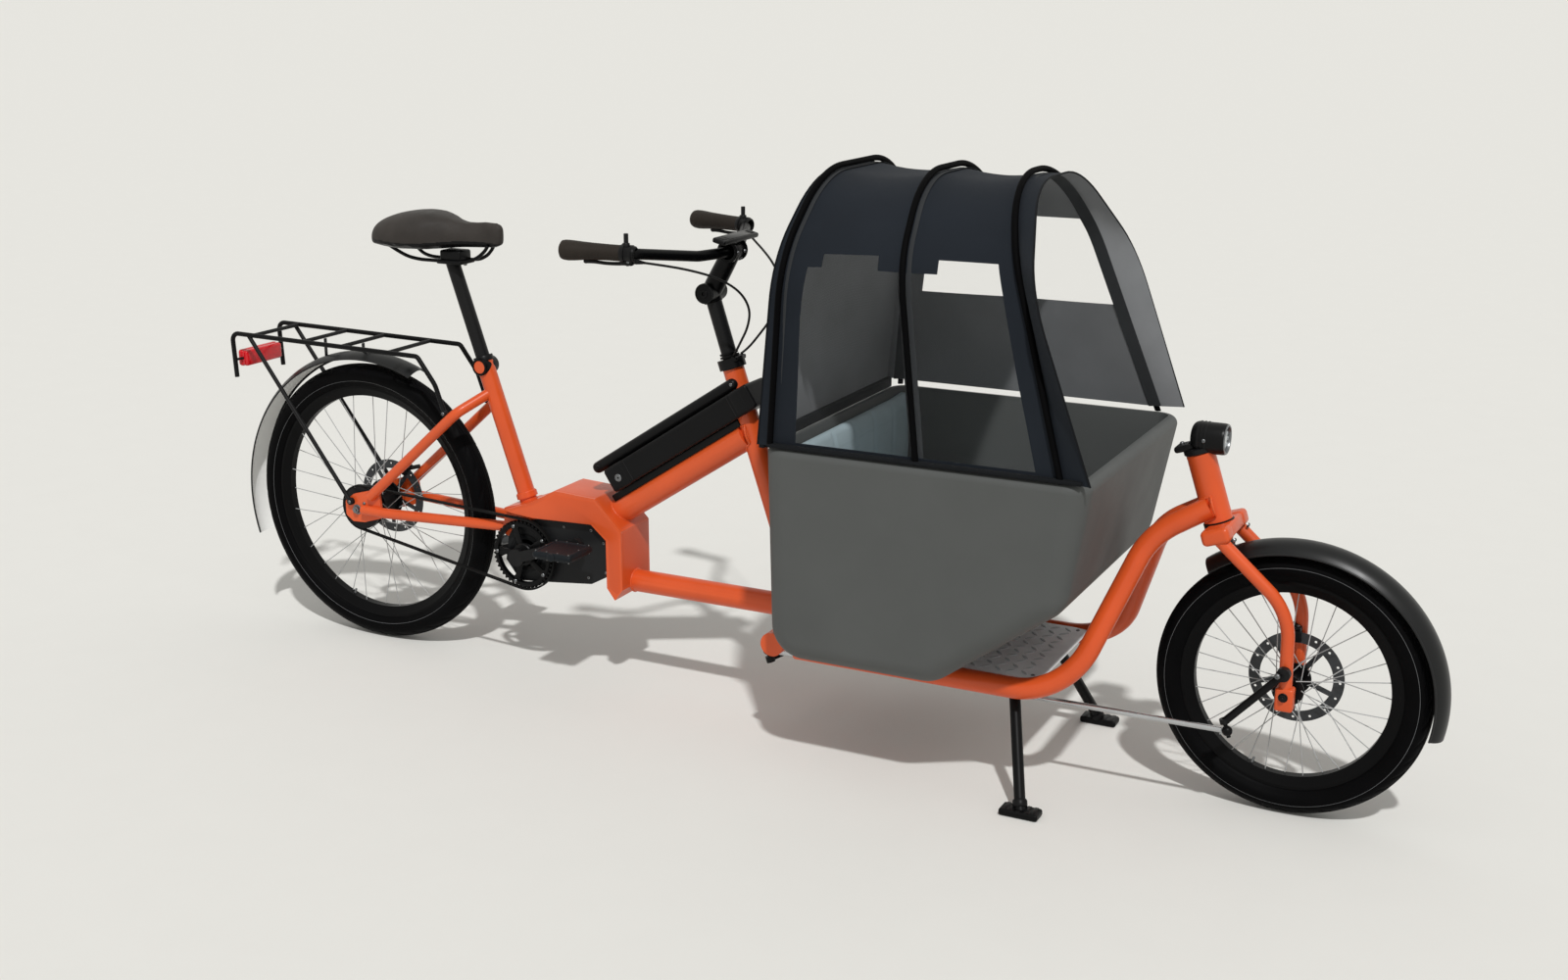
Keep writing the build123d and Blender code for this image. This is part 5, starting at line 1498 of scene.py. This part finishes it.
def front_frame_piece():
    """Two long tubes that run under the box and rise to the front head tube."""
    parts = Parts()
    for side in (-1, 1):
        points = [(1204, side * 172, 223), (1772, side * 172, 223), (1886, side * 42, 525),
            (1990, side * 20, 588)]
        parts.add(*tube_mesh(bent_path(points, [148, 150], 3.0), 21, 40), 0)
        block(parts, (1652, side * 144, 223), (32, 22, 32), bevel=9, material=0, steps=4)
    low, high = front_axis_at(556), front_axis_at(686)
    length = (high - low).length
    head = [(17.2, 0), (17.2, length), (26.2, length), (27.2, length - 1), (27.2, length - 7),
        (26.9, length - 8),
            (26.9, 8), (27.2, 7), (27.2, 1), (26.2, 0)]
    parts.add(*ring_turned(head, low, high - low, 64), 0)
    cup = [(17.2, -8), (27, -8), (29.4, -6.4), (29.4, 3.0), (27.4, 4.4), (17.2, 4.4)]
    parts.add(*ring_turned(cup, low, high - low, 56), 1)
    for side in (-1, 1):
        base = Vector((1886, side * 42, 525))
        way = (Vector((1990, side * 20, 588)) - base).normalized()
        weld(parts, tube_on_tube(base, way, 21, low, high - low, 27.0, -1), 2.2)
    return parts.piece("front_tubes", [ORANGE, ANODISED], "frame", 40, ["front_frame"])


front_frame_piece()


def fork_piece():
    """Fork: rounded crown, two curved legs and squared clamps at the axle."""
    parts = Parts()
    ux = Vector((math.cos(LEAN), 0, math.sin(LEAN)))
    crown = front_axis_at(545)
    uy = Vector((0, 1, 0))
    for side in (-1, 1):
        block(parts, crown + ux * 8 + uy * side * 60, (54, 40, 30), (ux, uy, UP), 9, 0, 5)
    block(parts, crown + ux * 8, (50, 100, 26), (ux, uy, UP), 6, 0, 4)
    for side in (-1, 1):
        y = side * 62.5
        points = [(crown.x + 8, y, 545), (2158, y, 420), (2162, y, 240)]
        parts.add(*tube_mesh(bent_path(points, [125], 3.0), 12.5, 28), 0)
        block(parts, (2162, y + side * 1.0, 252), (34, 27, 46), bevel=5, material=0, steps=4)
    steerer = [(0, 0), (14.2, 0), (14.2, 140), (0, 140)]
    parts.add(*turned(steerer, front_axis_at(548), UP, 28), 0)
    return parts.piece("fork_legs", [ORANGE], "fork", 40, ["fork"])


fork_piece()


def rack_piece():
    """Luggage rack of bent tube with its legs down to the dropouts."""
    parts = Parts()

    def height(x):
        return 721 + 7 * (204 - x) / 546

    for side in (-1, 1):
        y = side * 80
        rail = [(-337, y, 622), (-342, y, 728), (204, y, 721), (250, y, 660), (275, y, 590)]
        parts.add(*tube_mesh(bent_path(rail, [18, 14, 60], 2.5), 5.5, 18), 0)
        parts.add(*tube_mesh([(-292, y, height(-292)), (-16, side * 81.8, 356)], 5.0, 16), 0)
        parts.add(*turned([(0, -5), (8.5, -5), (8.5, 3.4), (7.6, 4.2), (0, 4.2)],
            (-14, side * 81.5, 354), (0, side, 0), 22), 0)
        screw(parts, (-14, side * 85.7, 354), (0, side, 0), 4.4, 2.6, 1)
        parts.add(*turned([(0, -4), (8.0, -4), (8.0, 4.4), (7.2, 5.2), (0, 5.2)],
            (272, side * 80, 597), (0, side, 0), 22), 0)
        screw(parts, (272, side * 85.2, 597), (0, side, 0), 4.0, 2.2, 1)
    for x in (-277, -128, -15, 120):
        parts.add(*tube_mesh([(x, -80, height(x)), (x, 80, height(x))], 4.6, 16), 0)
    return parts.piece("rack_tubes", [BLACK, BOLT], "frame", 40, ["rack"])


rack_piece()


def post_piece():
    """Seat post with its collar and the saddle's two rails."""
    parts = Parts()
    low, high = seat_axis_at(617), seat_axis_at(926)
    parts.add(*turned([(0, 0), (15.8, 0), (15.8, (high - low).length), (0, (high - low).length)],
        low, high - low, 40), 0)
    base = seat_axis_at(707.3)
    collar = [(15.8, 0), (21.6, 0), (22.4, 0.8), (22.4, 11.4), (21.4, 12.6), (17.4, 12.6),
        (15.8, 12.6)]
    parts.add(*ring_turned(collar, base, high - low, 44), 0)
    for side in (-1, 1):
        rail = smooth_path([(106, side * 42, 966), (122, side * 38, 955), (150, side * 29, 939),
            (178, side * 24, 932.5),
                            (212, side * 22.5, 931.5), (300, side * 21, 933), (332, side * 18, 942),
                            (352, side * 14, 957), (362, side * 12, 971)], 7)
        parts.add(*tube_mesh(rail, 4.0, 14), 0)
    return parts.piece("seat_post_tube", [ANODISED], "frame", 40, ["seat_post"])


post_piece()


def headlight_piece():
    """Round lamp housing with a rounded back, a recessed front and its strap on the head tube."""
    parts = Parts()
    middle = front_axis_at(716)
    x = middle.x + 26
    shell = [(0, -33)]
    for k in range(9):
        a = math.radians(90 * k / 8)
        shell.append((16 + 14 * math.sin(a), -33 + 14 * (1 - math.cos(a))))
    shell += [(30, 26), (29.2, 31), (27.6, 33), (25.4, 33), (25.0, 32), (25.0, 24), (0, 24)]
    parts.add(*turned(shell, (x, 0, 716), (1, 0, 0), 64), 0)
    cap = [(0, 0.4), (28.6, 0.4), (30, 1.6), (30, 10), (27, 12.6), (0, 13.4)]
    parts.add(*turned(cap, front_axis_at(686), UP, 56), 0)
    ux = Vector((math.cos(LEAN), 0, math.sin(LEAN)))
    back = front_axis_at(694)
    block(parts, Vector((back.x - 22, 0, 695)), (44, 44, 13), (ux, Vector((0, 1, 0)), UP), 5.5, 0,
        4)
    block(parts, Vector((x - 20, 0, 700)), (34, 30, 22), (ux, Vector((0, 1, 0)), UP), 5, 0, 4)
    parts.piece("headlight_housing", [PLASTIC], "frame", 40, ["headlight"])


headlight_piece()


def column_sleeves():
    """Column tube and stem from the headset up to the bar clamp."""
    parts = Parts()
    low = rear_axis_at(756)
    knob = Vector((918, 0, 910))
    clamp = Vector((969, 0, 1000))
    tube = [(0, 0), (16.5, 0), (16.5, (knob - low).length), (0, (knob - low).length)]
    parts.add(*turned(tube, low, knob - low, 40), 0)
    stem = (clamp - knob)
    body = [(0, 0), (20.6, 4), (21, 18), (20.6, 60), (19.6, stem.length), (0, stem.length)]
    parts.add(*turned(body, knob, stem, 40), 0)
    sleeve = [(11.4, -24), (18.4, -24), (19.2, -23), (19.2, 23), (18.4, 24), (11.4, 24)]
    parts.add(*ring_turned(sleeve, clamp, (0, 1, 0), 44), 0)
    return parts.piece("column_sleeves", [ANODISED], "steering", 40)


column_sleeves()


def caliper_piece(name, body, x, z, rotor_y, angle, low, high, stays):
    """Brake caliper over a disc's edge with its bolts and hose joint."""
    parts = Parts()
    a = math.radians(angle)
    way = Vector((math.cos(a), 0, math.sin(a)))
    flat = Vector((-way.z, 0, way.x))
    uy = Vector((0, 1, 0))
    slot = 5.0
    for y0, y1 in ((low, rotor_y - slot / 2), (rotor_y + slot / 2, high)):
        if y1 - y0 > 3:
            centre = Vector((x, (y0 + y1) / 2, z)) + way * 84
            block(parts, centre, (26, y1 - y0, 28), (way, uy, flat), min(3.4, (y1 - y0) * 0.3), 0,
                3)
    centre = Vector((x, (low + high) / 2, z)) + way * 95.5
    block(parts, centre, (9, high - low, 29), (way, uy, flat), 2.6, 0, 3)
    for off in (-8, 8):
        screw(parts, centre + way * 4.5 + flat * off, way, 3.4, 2.6, 1)
    for start, end, r in stays:
        parts.add(*tube_mesh([start, end], r, 14), 0)
        screw(parts, Vector(start) + Vector((0, 0, r)), (0, 0, 1), 3.0, 1.6, 1)
    return parts.piece(name, [HUB, BOLT], body, 35)


caliper_piece("front_caliper", "fork", WHEELBASE, FRONT_R, FRONT_ROTOR_Y, 97, 34, 58, [
    ((2147, 50, 336), (WHEELBASE, 56, 332), 4.5), ((2147, 50, 358), (WHEELBASE, 56, 356), 4.5)])
caliper_piece("rear_caliper", "frame", 0, REAR_R, REAR_ROTOR_Y, 62, 45, 66,
    [((48, 60, 408), (74, 72, 414), 5)])


# ------------------------------------------------------------ cockpit
BAR_END = Vector((733.0, 268.0, 1021.6))
BAR_TURN = Vector((872.0, 243.0, 1018.0))


def mirrored(v, side):
    return Vector((v.x, v.y * side, v.z))


def grip_piece(name, side):
    """Ergonomic grip: broad rounded palm end, waist and ribbed inner part with a clamp ring."""
    end = mirrored(BAR_END, side)
    way = (mirrored(BAR_TURN, side) - end).normalized()
    across = way.cross(Vector((0, 0, 1))).normalized()
    up = across.cross(way).normalized()
    stations = [
        (-4.5, 11, 10, 0), (-4.2, 18, 15, 0), (-2.0, 21.6, 18.6, -0.6), (3, 23.2, 20.0, -1.0),
        (12, 23.6, 20.4, -1.2),
        (26, 22.8, 19.6, -1.0), (42, 20.8, 18.2, -0.6), (60, 18.6, 17.2, -0.2),
        (80, 17.2, 16.6, 0), (98, 16.6, 16.2, 0),
        (112, 16.4, 16.2, 0), (120, 16.2, 16.0, 0), (122, 15.0, 15.0, 0),
    ]
    dense = []
    for a, b in zip(stations, stations[1:]):
        count = max(1, int((b[0] - a[0]) / 1.6))
        for k in range(count):
            t = k / count
            dense.append([p * (1 - t) + q * t for p, q in zip(a, b)])
    dense.append(list(stations[-1]))
    n = 36
    verts, faces = [], []
    for i, (s, a, b, dz) in enumerate(dense):
        rib = 0.35 * (1 if i % 3 == 0 else 0) if 58 < s < 118 else 0
        for k in range(n):
            t = 2 * math.pi * k / n
            verts.append(end + way * s + across * ((a - rib) * math.cos(t)) + up * ((b - rib) * math.sin(t) + dz))
    rows = len(dense)
    inner = len(verts)
    for s, r in ((122, 11.4), (2, 11.4)):
        for k in range(n):
            t = 2 * math.pi * k / n
            verts.append(end + way * s + across * (r * math.cos(t)) + up * (r * math.sin(t)))
    for i in range(rows - 1):
        for k in range(n):
            m = (k + 1) % n
            faces.append((i * n + k, i * n + m, (i + 1) * n + m, (i + 1) * n + k))
    last = (rows - 1) * n
    for k in range(n):
        m = (k + 1) % n
        faces.append((last + k, last + m, inner + m, inner + k))
        faces.append((inner + k, inner + m, inner + n + m, inner + n + k))
    faces.append(tuple(range(n - 1, -1, -1)))
    faces.append(tuple(inner + n + k for k in range(n)))
    parts = Parts()
    parts.add(verts, faces, 0)
    return parts.piece(name, [GRIP, PLASTIC], "steering", 40, ["grips"])


def controls_piece(name, side):
    """Brake lever with its clamp, reservoir, blade and bell-like peg, and the shifter ring."""
    end = mirrored(BAR_END, side)
    way = (mirrored(BAR_TURN, side) - end).normalized()
    parts = Parts()
    sleeve = [(11.5, 122.8), (17.6, 122.8), (18.4, 124), (18.4, 131), (16.6, 132), (16.6, 140),
        (17.4, 141.2),
              (17.4, 147), (16.2, 148), (15.4, 152), (14.0, 153.2), (11.5, 153.2)]
    parts.add(*ring_turned(sleeve, end, way, 40), 0)
    middle = end + way * 133
    stalk = [(0, 6), (4.7, 6), (4.7, 38.6), (4.2, 39.6), (0, 39.8)]
    parts.add(*turned(stalk, middle, (0, 0, 1), 20), 0)
    parts.add(*turned([(0, 10), (7.5, 10), (7.5, 19.5), (6.5, 21), (0, 21)], middle, (0, 0, 1),
        24), 0)
    forward = (way.cross(Vector((0, 0, 1))) * side).normalized()
    if forward.x < 0:
        forward = -forward
    knuckle = middle - Vector((0, 0, 15)) + way * 2
    block(parts, knuckle, (26, 15, 17), (way, forward, Vector((0, 0, 1))), 4, 0, 3)
    screw(parts, knuckle - Vector((0, 0, 8)), (0, 0, -1), 3.4, 2.0, 1)
    screw(parts, knuckle + way * 4 - Vector((0, 0,
        0)) + (way.cross(Vector((0, 0, 1))).normalized() * 7.6),
          way.cross(Vector((0, 0, 1))), 3.4, 1.6, 1)
    blade = smooth_path([
        tuple(knuckle + way * 2 - Vector((0, 0, 3))), tuple(knuckle - way * 18 - Vector((0, 0, 6))),
        tuple(knuckle - way * 44 - Vector((0, 0, 7))),
        tuple(knuckle - way * 70 - Vector((0, 0, 5.5))),
        tuple(knuckle - way * 88 - Vector((0, 0, 5.5))),
    ], 6)
    count = len(blade)
    radii = [4.6 - 1.0 * math.sin(math.pi * k / (count - 1)) for k in range(count)]
    parts.add(*tube_mesh(blade, radii, 14), 0)
    parts.add(*turned([(0, -4.6), (3.4, -4.2), (4.9, -1.6), (4.9, 1.6), (3.4, 4.2), (0, 4.6)],
        blade[-1], way, 16), 0)
    x, y, z = CABLE_ROUTE[0]
    exit_point = Vector((x, abs(y) * side, z))
    b = CABLE_ROUTE[1]
    run = (Vector((b[0], abs(b[1]) * side, b[2])) - exit_point).normalized()
    relief = [(0, -14), (5.2, -14), (5.4, -4), (4.6, 0), (4.4, 3), (3.9, 3.4), (3.9, 6),
        (3.4, 6.4), (3.4, 9), (2.9, 9.4),
              (2.7, 13), (2.3, 13.2), (0, 13.2)]
    parts.add(*turned(relief, exit_point, run, 18), 0)
    body = smooth_path([tuple(knuckle + way * 6),
        tuple((knuckle + way * 6) * 0.5 + (exit_point - run * 14) * 0.5
                                                         + Vector((0, 0, 1))),
                                                         tuple(exit_point - run * 12)], 6)
    parts.add(*tube_mesh(body, 5.6, 16), 0)
    return parts.piece(name, [PLASTIC, BOLT], "steering", 35, ["bar_controls"])


for side, label in ((-1, "right"), (1, "left")):
    grip_piece(f"grip_{label}", side)
    controls_piece(f"controls_{label}", side)


def display_piece():
    """Slim display with a glass face, bezel and buttons on a bracket."""
    parts = Parts()
    turn = math.radians(14)
    ux = Vector((math.cos(turn), 0, -math.sin(turn)))
    uz = Vector((math.sin(turn), 0, math.cos(turn)))
    uy = Vector((0, 1, 0))
    middle = Vector((977, 0, 1027))
    block(parts, middle, (30, 150, 10.6), (ux, uy, uz), 4, 0, 4)
    block(parts, middle + uz * 5.3, (22, 96, 1.6), (ux, uy, uz), 0.7, 1, 2)
    for y in (-60, 60):
        block(parts, middle + uz * 5.4 + uy * y, (16, 15, 2.4), (ux, uy, uz), 1.1, 2, 2)
    block(parts, (973, 0, 1019), (16, 30, 12), bevel=3, material=0)
    for y in (-10, 10):
        screw(parts, Vector((981.5, y, 1019)), (1, 0, 0), 2.8, 1.6, 3, 12)
    return parts.piece("display_unit", [PLASTIC, SCREEN, BUTTON, BOLT], "steering", 35, ["display"])


display_piece()


def stem_details():
    """Pivot caps, clamp bolts, spacer rings and cable guide on the stem."""
    parts = Parts()
    for side in (-1, 1):
        cap = [(0, -1), (20.4, -1), (21.4, 0.2), (21.0, 2.2), (18.4, 3.0), (17.6, 2.0), (9, 2.0),
            (8, 3.2), (4.6, 3.2),
               (4.2, 1.0), (0, 1.0)]
        parts.add(*turned(cap, (918, side * 30, 910), (0, side, 0), 36), 0)
        lip = [(19.2, -0.4), (19.2, 3.4), (22.6, 3.4), (23.6, 2.2), (23.6, -0.4)]
        parts.add(*ring_turned(lip, (969, side * 21, 1000), (0, side, 0), 40), 0)
    way = Vector((51, 0, 90)).normalized()
    front = Vector((way.z, 0, -way.x))
    for y in (-15, 15):
        for along in (-9, 9):
            screw(parts, Vector((969, y, 1000)) + front * 18.4 + way * along, front, 3.4, 3.0, 1)
    for k, z in enumerate((775, 781)):
        ring = [(16.6, 0), (16.6, 4.6), (20.2 - k, 4.6), (20.9 - k, 3.8), (20.9 - k, 0.8),
            (20.2 - k, 0)]
        parts.add(*ring_turned(ring, rear_axis_at(z), UP, 40), 0)
    for z in (888,):
        ring = [(16.6, 0), (16.6, 15), (18.6, 15), (19.6, 14), (19.6, 1), (18.6, 0)]
        parts.add(*ring_turned(ring, rear_axis_at(z), UP, 40), 0)
    screw(parts, rear_axis_at(895) + Vector((0, -19.5, 0)), (0, -1, 0), 3.6, 3.0, 1)
    guide = rear_axis_at(776) + Vector((20, 0, 0))
    block(parts, guide, (14, 46, 10), bevel=3, material=0)
    return parts.piece("stem_details", [ANODISED, BOLT], "steering", 35)


stem_details()


# ------------------------------------------------------------ lamps
def lamps():
    """Lens, ring and fins of the headlight."""
    parts = Parts()
    middle = front_axis_at(716)
    x = middle.x + 26 + 33
    ring = [(24.4, -7), (24.4, -0.6), (25.2, 0.6), (27.4, 0.8), (28.6, -0.2), (28.6, -2)]
    parts.add(*ring_turned(ring, (x, 0, 716), (1, 0, 0), 56), 1)
    lens = [(0, -3.0), (8, -3.1), (16, -3.7), (21, -4.8), (24.3, -6.4), (24.3, -7.4), (0, -7.4)]
    parts.add(*turned(lens, (x, 0, 716), (1, 0, 0), 56), 2)
    for k in range(6):
        a = math.radians(60 * k)
        spot = (x - 3.2, 12 * math.cos(a), 716 + 12 * math.sin(a))
        parts.add(*turned([(0, -1), (4.6, -1), (4.0, 0.6), (2.2, 1.4), (0, 1.6)], spot, (1, 0, 0),
            18), 2)
    for k in range(3):
        fin = [(29.8, 0), (31.0, 0.8), (31.0, 2.2), (29.8, 3)]
        parts.add(*ring_turned(fin, (x - 52 + 7 * k, 0, 716), (1, 0, 0), 56), 0)
    screw(parts, front_axis_at(696) + Vector((-32, 0, 3.5)), UP, 4.5, 3.5, 1)
    screw(parts, (x - 38, -29.4, 716), (0, -1, 0), 4.2, 3.0, 1)
    screw(parts, (x - 38, 29.4, 716), (0, 1, 0), 4.2, 3.0, 1)
    return parts.piece("headlight_details", [PLASTIC, BOLT, LENS], "frame", 35)


lamps()


def tail_lamp():
    """Red lens with rounded corners, inner ribs and its black back plate."""
    parts = Parts()
    block(parts, (-339.5, 0, 664), (17, 124, 40), bevel=7.0, material=0, steps=5)
    block(parts, (-328, 0, 664), (18, 122, 38), bevel=6.5, material=0, steps=4)
    for k in range(-3, 4):
        block(parts, (-347.4, 15 * k, 664), (2.2, 1.6, 30), bevel=0.5, material=0, steps=2)
    block(parts, (-348.4, 0, 664), (1.2, 100, 12), bevel=0.5, material=2, steps=2)
    for side in (-1, 1):
        parts.add(*tube_mesh([(-331, side * 56, 664), (-337, side * 80, 664)], 3.2, 12), 1)
    return parts.piece("tail_lamp", [RED, PLASTIC, RED_DEEP], "frame", 35, ["tail_light"])


tail_lamp()


# ------------------------------------------------------------ wheels, fork and stand fittings
def wheel_fittings():
    """Axle nuts, dropout bolts, valve stems, rotor bolts and stand bolts."""
    frame_parts = Parts()
    for side in (-1, 1):
        frame_parts.add(*turned([(0, -1), (12, -1), (12, 1.4), (11, 2.2), (0, 2.2)],
            (0, side * 76, REAR_R), (0, side, 0), 28), 0)
        nut(frame_parts, (0, side * 78, REAR_R), (0, side, 0), 9, 7, 0)
        screw(frame_parts, (22, side * 76, 352), (0, side, 0), 4, 3, 0)
        screw(frame_parts, (40, side * 76, 338), (0, side, 0), 4, 3, 0)
        screw(frame_parts, (PIVOT[0] - 14, side * 158.4, PIVOT[1]), (0, side, 0), 4, 2.5, 0)
    frame_parts.piece("dropout_fittings", [BOLT], "frame", 35)
    front = Parts()
    for side in (-1, 1):
        front.add(*turned([(0, -1), (9, -1), (9, 1.0), (8, 1.8), (0, 1.8)],
            (WHEELBASE, FORK_SIDE * side, FRONT_R), (0, side, 0), 28), 0)
        nut(front, (WHEELBASE, (FORK_SIDE + 1.6) * side, 258), (0, side, 0), 6.5, 5, 0)
    front.piece("front_axle_nuts", [HUB], "fork", 35)
    for name, body, x, radius, rotor_y in (
        ("front_wheel_fittings", "front_wheel", WHEELBASE, FRONT_R, FRONT_ROTOR_Y),
        ("rear_wheel_fittings", "rear_wheel", 0, REAR_R, REAR_ROTOR_Y),
    ):
        parts = Parts()
        a = math.radians(VALVE_ANGLE)
        way = Vector((math.cos(a), 0, math.sin(a)))
        rim_in = radius - TYRE_DEPTH - RIM_DEPTH
        base = Vector((x, 0, radius)) + way * (rim_in + 10)
        parts.add(*turned([(0, 0), (3.1, 0), (3.1, 34), (2.6, 35), (2.6, 42), (2.0, 43), (0, 43)],
            base, -way, 14), 0)
        parts.add(*turned([(0, 8), (5.4, 8), (5.4, 11), (0, 11)], base, -way, 6), 0)
        for k in range(ROTOR_BOLTS):
            t = 2 * math.pi * k / ROTOR_BOLTS + 0.35
            bolt_x = x + ROTOR_BOLT_CIRCLE * math.cos(t)
            bolt_z = radius + ROTOR_BOLT_CIRCLE * math.sin(t)
            for face in (1, -1):
                screw(parts, (bolt_x, rotor_y + face, bolt_z), (0, face, 0), 3.2, 2.2, 0, 10)
        parts.piece(name, [BOLT], body, 35)


PIVOT = (1652.0, 223.0)
FORK_SIDE = 77.0
wheel_fittings()


def stand_feet():
    """Treads, sockets and pivot caps of the stand."""
    parts = Parts()
    for side in (-1, 1):
        for k in range(5):
            block(parts, (1721 - 28 + 14 * k, side * 252, 13.6), (8, 34, 2.4), bevel=0.9,
                material=0, steps=2)
        leg_low = Vector((1721, side * 252, 7))
        leg_high = Vector((1652, side * 118, 223))
        way = (leg_high - leg_low).normalized()
        parts.add(*turned([(0, 0), (13.6, 0), (14.4, 2), (14.4, 12), (12.6, 15), (0, 15)],
            leg_low + way * 9, way, 28), 0)
        parts.add(*turned([(0, -3), (12.4, -3), (13, -1.6), (13, 5), (0, 5)],
            (1652, side * 152, 223), (0, side, 0), 28), 0)
        nut(parts, (1652, side * 156, 223), (0, side, 0), 7, 4, 1)
    return parts.piece("stand_fittings", [BLACK, BOLT], "stand", 35)


stand_feet()


def crown_bolts():
    """Pinch bolts of the fork crown and the steering arm's bolt."""
    parts = Parts()
    crown = front_axis_at(549)
    for side in (-1, 1):
        screw(parts, crown + Vector((40, side * 54, -8)), (0.95, 0, -0.32), 5, 3.5, 0)
    root = Vector((2152, -66 - 14, 306))
    screw(parts, root + Vector((0, -18, 0)), (0, -1, 0), 5.5, 4, 0)
    return parts.piece("crown_bolts", [BOLT], "fork", 35)


crown_bolts()


def hem():
    """Bound edges of the cover and the track on the box's rim."""
    parts = Parts()
    rows = tent_grid(13.2)
    parts.add(*tube_mesh([Vector(p) for p in rows[-1]], 1.9, 8), 0)
    parts.add(*tube_mesh([Vector(p) for p in rows[0]], 1.6, 8), 0)
    block(parts, (1523, -314, 686.2), (620, 13.5, 7.6), bevel=2.4, material=0, steps=3)
    block(parts, (1193.4, 0, 686.4), (12, 612, 22), bevel=2.4, material=0, steps=3)
    return parts.piece("cover_binding", [TAPE], "frame", 60)


hem()


def sleeves():
    """Fabric sleeves under the hoops, inside the cover."""
    parts = Parts()
    inner_rows, outer_rows = tent_grid(15.4), tent_grid(14.7)
    lean = Vector((1, 0, 0.12)).normalized()
    for index in (3, 17, 31):
        line = [Vector(p) for p in inner_rows[index]]
        outer = [Vector(p) for p in outer_rows[index]]
        verts, faces = [], []
        for p, q in zip(line, outer):
            verts += [p - lean * 13, p + lean * 13, q + lean * 13, q - lean * 13]
        rows = len(line)
        for k in range(rows - 1):
            for m in range(4):
                w = (m + 1) % 4
                faces.append((k * 4 + m, k * 4 + w, (k + 1) * 4 + w, (k + 1) * 4 + m))
        faces.append((3, 2, 1, 0))
        faces.append(tuple((rows - 1) * 4 + m for m in range(4)))
        parts.add(verts, faces, 0)
    return parts.piece("hoop_sleeves", [SLEEVE], "frame", 40)


sleeves()


def bench_trim():
    """Rolled front edge of the bench."""
    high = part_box("bench")[1]
    x = high[0] * 1000 + MID_MM
    parts = Parts()
    z = high[2] * 1000
    half = high[1] * 1000 - 8
    parts.add(*turned([(0, 0), (6, 0), (6, 2 * half), (0, 2 * half)], (x - 4, -half, z - 6),
        (0, 1, 0), 20), 0)
    return parts.piece("bench_trim", [BENCH], "frame", 40)


bench_trim()


# ------------------------------------------------------------ floor
FLOOR = finish_material("floor", srgb(231, 230, 225), 0.9, vary=0.004, specular=0.1)
floor_mesh = bpy.data.meshes.new("floor")
floor_mesh.from_pydata([(-900, -900, 0), (900, -900, 0), (900, 900, 0), (-900, 900, 0)], [],
    [(0, 1, 2, 3)])
floor = bpy.data.objects.new("floor", floor_mesh)
floor.location.z = -0.0005
bpy.context.scene.collection.objects.link(floor)
floor.data.materials.append(FLOOR)
